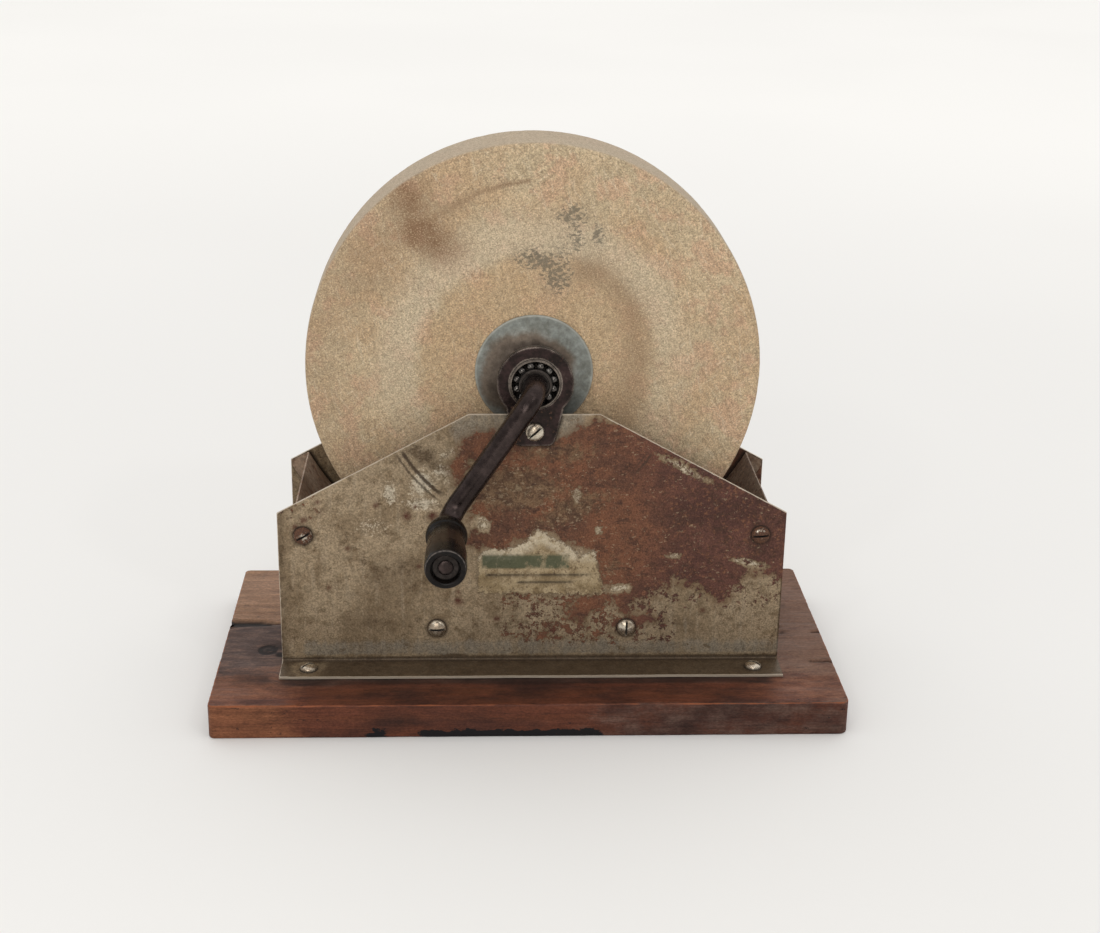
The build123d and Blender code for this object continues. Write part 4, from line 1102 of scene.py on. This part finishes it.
def washer_piece(name, side, finish):
    low, high = corners(name)
    radius = (high[0] - low[0]) / 2 / MM
    seat_y, dome_y = (high[1], low[1]) if side < 0 else (low[1], high[1])
    seat = (seat_y - AXIS[1]) / MM
    dome = abs(dome_y - seat_y) / MM
    gauge = 2.0
    outer, inner = [], []
    for k in range(25):
        swell = (1 - math.cos(math.pi * k / 24)) / 2
        outer.append((radius - 0.6 - (radius - 12.1) * k / 24, 1.3 + (dome - 1.3) * swell))
        inner.insert(0, (radius - 3.0 - (radius - 14.5) * k / 24, (dome - gauge) * swell))
    profile = outer + [(ROD_R, dome), (ROD_R, dome - gauge)] + inner
    profile += [(radius - 0.5, 0), (radius - 0.15, 0.15), (radius, 0.5), (radius, 0.8), (radius - 0.2, 1.12)]
    profile = [(r, seat + side * y) for r, y in profile]
    local, _ = turned_points(profile, 144, AXIS)
    r = np.hypot(local[..., 0], local[..., 2])
    raised = rise(np.abs(local[..., 1] - seat), 0.9, 1.6)
    local[..., 1] -= side * 0.14 * (1 + rough_noise(local, 13, 95 + side, 2)) * raised
    drip = 5.5 * (local[..., 0] * -0.75 - local[..., 2] * 0.5) / radius
    marks = {"oily": 1 - rise(r - drip + 1.5 * soft_noise(local, 9, 97), 19, 32), "edge": rise(r, radius - 1.6, radius - 0.4)}
    faces = grid_faces(*local.shape[:2], True, True)
    body_name = ("front" if side < 0 else "rear") + "_domed_washer"
    piece = make_piece(body_name, AXIS + local * MM, faces, marks, 50)
    attach(piece, "wheel", "zinc_plate", finish, name)


# ---------------------------------------------------------------- CAD parts that keep their shape
def trough_finish():
    f = Finish("water_stained_sheet", Specular_IOR_Level=0.3)
    broad = f.noise(30, 4, 0.6, seed=1)
    patch = f.noise(8, 5, 0.7, seed=2)
    fine = f.noise(2.2, 4, 0.7, seed=3)
    colour = f.mix(f.step(broad, 0.38, 0.62), (0.18, 0.116, 0.077), (0.26, 0.186, 0.132))
    colour = f.mix(f.step(patch, 0.5, 0.66, 0, 0.8), colour, (0.14, 0.07, 0.042))
    height = f.part("Z")
    tide = f.step(f.math("ADD", height, f.math("MULTIPLY", f.math("SUBTRACT", broad, 0.5), 0.02)),
                  0.07, 0.082)
    colour = f.mix(tide, f.mix(f.step(patch, 0.4, 0.6), (0.26, 0.2, 0.14), (0.16, 0.11, 0.07)), colour)
    colour = f.scale(colour, f.step(fine, 0.3, 0.7, 0.7, 1.3))
    # painted light and shade: the trough lighter at its left end, darker at its right
    colour = f.scale(colour, f.step(f.part("X"), -0.08, 0.08, 1.15, 0.86))
    gloss = f.step(patch, 0.35, 0.65, 0.5, 0.78)
    return f.finished(colour, gloss, f.bump(fine, 0.18), 0.3)


def cad_finishes():
    """A finish for each CAD node that stays visible."""
    black = steel_finish("bearing_bracket_steel", (0.037, 0.022, 0.0205), (0.016, 0.011, 0.0095), 0.25, 0.31, 0.75, 7, 0.12, 0, None, 0.75)
    screw = steel_finish("old_screw_steel", (0.6, 0.54, 0.44), (0.34, 0.27, 0.2), 0.08, 0.25, 0.9, 5, 0.1, 1.6,
                         (60, 95))
    nut = steel_finish("nut_steel_worn", (0.14, 0.115, 0.09), (0.06, 0.045, 0.035), 0.5, 0.42, 0.75, 5, 0.08, 1.5)
    cup = steel_finish("race_steel", (0.1, 0.083, 0.071), (0.03, 0.024, 0.02), 0.15, 0.26, 0.9, 5, 0.05, 1.2, None, 0.5)
    cone = steel_finish("cone_steel_oily", (0.06, 0.05, 0.044), (0.025, 0.019, 0.016), 0.1, 0.28, 0.85, 6, 0.05, 1.0)
    ball = steel_finish("ball_steel_oily", (0.13, 0.12, 0.11), (0.08, 0.072, 0.066), 0.0, 0.07, 1.0, 3, 0.01, 1.2)
    disc = steel_finish("disc_steel_dull", (0.035, 0.028, 0.025), (0.016, 0.012, 0.01), 0.2, 0.4, 0.7, 4, 0.1, 1.5)
    table = {"front_bracket": black, "rear_bracket": black, "front_bearing_cup": cup, "rear_bearing_cup": cup,
             "front_bearing_cone": cone, "rear_bearing_cone": cone, "front_bearing_balls": ball,
             "rear_bearing_balls": ball, "grip_disc": disc, "front_clamp_nut": nut, "rear_clamp_nut": nut,
             "rear_lock_nut": nut, "front_trough_nuts": nut, "rear_trough_nuts": nut, "bracket_nuts": nut,
             "front_trough_screws": screw, "rear_trough_screws": screw, "foot_screws": screw,
             "bracket_screws": screw, "trough": trough_finish()}
    for node, finish in table.items():
        slots = nodes[node].data.materials
        slots.clear()
        slots.append(finish)
        if node in ("front_bracket", "rear_bracket", "trough"):
            soft = nodes[node].modifiers.new("soft_edges", "BEVEL")
            soft.width = (0.3 if node == "trough" else 0.6) * MM
            soft.segments = 3
            soft.limit_method = "ANGLE"


# ---------------------------------------------------------------- studio
def studio():
    """Pale paper floor, painted darker near the machine as painted shade and paler far off, even light from all round
    and a large soft light above.
    """
    reach = 9.0
    steps = np.linspace(-reach, reach, 13)
    a, b = np.meshgrid(steps, steps, indexing="ij")
    floor = make_piece("studio_floor", np.stack([a, b, a * 0], -1), grid_faces(13, 13))
    f = Finish("pale_paper", Specular_IOR_Level=0.15)
    cloud = f.noise(900, 2, 0.5, seed=1)
    tooth = f.noise(2.5, 3, 0.6, seed=2)
    far = f.add("VectorMath")
    far.operation = "LENGTH"
    f.feed(far.inputs[0], f.place)
    # painted shade: the floor darker near the machine, paler far from it
    colour = f.mix(f.step(far.outputs["Value"], 0.15, 2.2), (0.815, 0.808, 0.79), (0.975, 0.965, 0.935))
    colour = f.scale(colour, f.step(cloud, 0.35, 0.65, 0.99, 1.01))
    floor.data.materials.append(f.finished(colour, f.step(tooth, 0.3, 0.7, 0.82, 0.92), f.bump(tooth, 0.02)))
    world = bpy.data.worlds.new("studio_surround")
    bpy.context.scene.world = world
    world.use_nodes = True
    tree = world.node_tree
    background = tree.nodes["Background"]
    background.inputs["Color"].default_value = (1.0, 0.992, 0.985, 1)
    # brightest overhead and behind the machine, dimmer low on the crank side
    way = tree.nodes.new("ShaderNodeTexCoord").outputs["Generated"]
    height = tree.nodes.new("ShaderNodeVectorMath")
    height.operation = "DOT_PRODUCT"
    height.inputs[1].default_value = (0.0, 0.45, 0.89)
    tree.links.new(way, height.inputs[0])
    spread = tree.nodes.new("ShaderNodeMapRange")
    for socket, number in (("From Min", -0.45), ("From Max", 0.95), ("To Min", 0.25), ("To Max", 1.2)):
        spread.inputs[socket].default_value = number
    tree.links.new(height.outputs["Value"], spread.inputs["Value"])
    # what the camera sees past the floor's far edge is as pale as the floor
    seen = tree.nodes.new("ShaderNodeMix")
    tree.links.new(tree.nodes.new("ShaderNodeLightPath").outputs["Is Camera Ray"], seen.inputs[0])
    tree.links.new(spread.outputs["Result"], seen.inputs[2])
    seen.inputs[3].default_value = 0.95
    tree.links.new(seen.outputs[0], background.inputs["Strength"])
    for name, place, size, power, colour in (
            ("left_lamp", (-0.8, -1.5, 1.3), 0.14, 1.8, (1, 0.98, 0.95)),
            ("right_lamp", (0.9, -1.2, 1.5), 0.14, 1.6, (1, 0.99, 0.97)),
            ("front_softbox", (-0.35, -2.6, 1.05), 1.2, 17, (1, 0.985, 0.95))):
        light = bpy.data.lights.new(name, "AREA")
        light.shape = "SQUARE"
        light.size = size
        light.energy = power
        light.color = colour
        lamp = bpy.data.objects.new(name, light)
        bpy.context.scene.collection.objects.link(lamp)
        aim = np.array((0, 0, 0.12)) - np.array(place)
        lamp.matrix_world = Matrix.Translation(place) @ look_along(aim).to_4x4()


def look_along(direction):
    """Turn that points an object's -Z along a direction."""
    back = -np.array(direction) / np.linalg.norm(direction)
    right = np.cross((0, 0, 1), back)
    right = right / np.linalg.norm(right) if np.linalg.norm(right) > 1e-6 else np.array((1.0, 0, 0))
    up = np.cross(back, right)
    return Matrix(np.stack([right, up, back], 1).tolist())


def camera():
    """Camera in front of the crank side and above it, looking down."""
    place = (-0.0356, -0.9580, 0.4817)
    yaw, pitch, roll = (math.radians(d) for d in (2.889, 20.393, 1.001))
    ahead = np.array((math.sin(yaw) * math.cos(pitch), math.cos(yaw) * math.cos(pitch), -math.sin(pitch)))
    turn = look_along(ahead) @ Matrix.Rotation(roll, 3, "Z")
    data = bpy.data.cameras.new("view")
    data.sensor_width = 36.0
    data.lens = 57.926
    data.clip_end = 50.0
    view = bpy.data.objects.new("view", data)
    bpy.context.scene.collection.objects.link(view)
    view.matrix_world = Matrix.Translation(place) @ turn.to_4x4()
    bpy.context.scene.camera = view


stone_piece()
panel_piece("rusted_front_panel", -1, front_panel_marks, "front_panel")
panel_piece("stained_rear_panel", 1, rear_panel_marks, "rear_panel")
board_piece()
crank_piece()
grip_piece()
zinc = washer_finish()
washer_piece("front_flange_washer", -1, zinc)
washer_piece("rear_flange_washer", 1, zinc)
cad_finishes()
studio()
camera()
bpy.context.scene.view_settings.view_transform = "Standard"
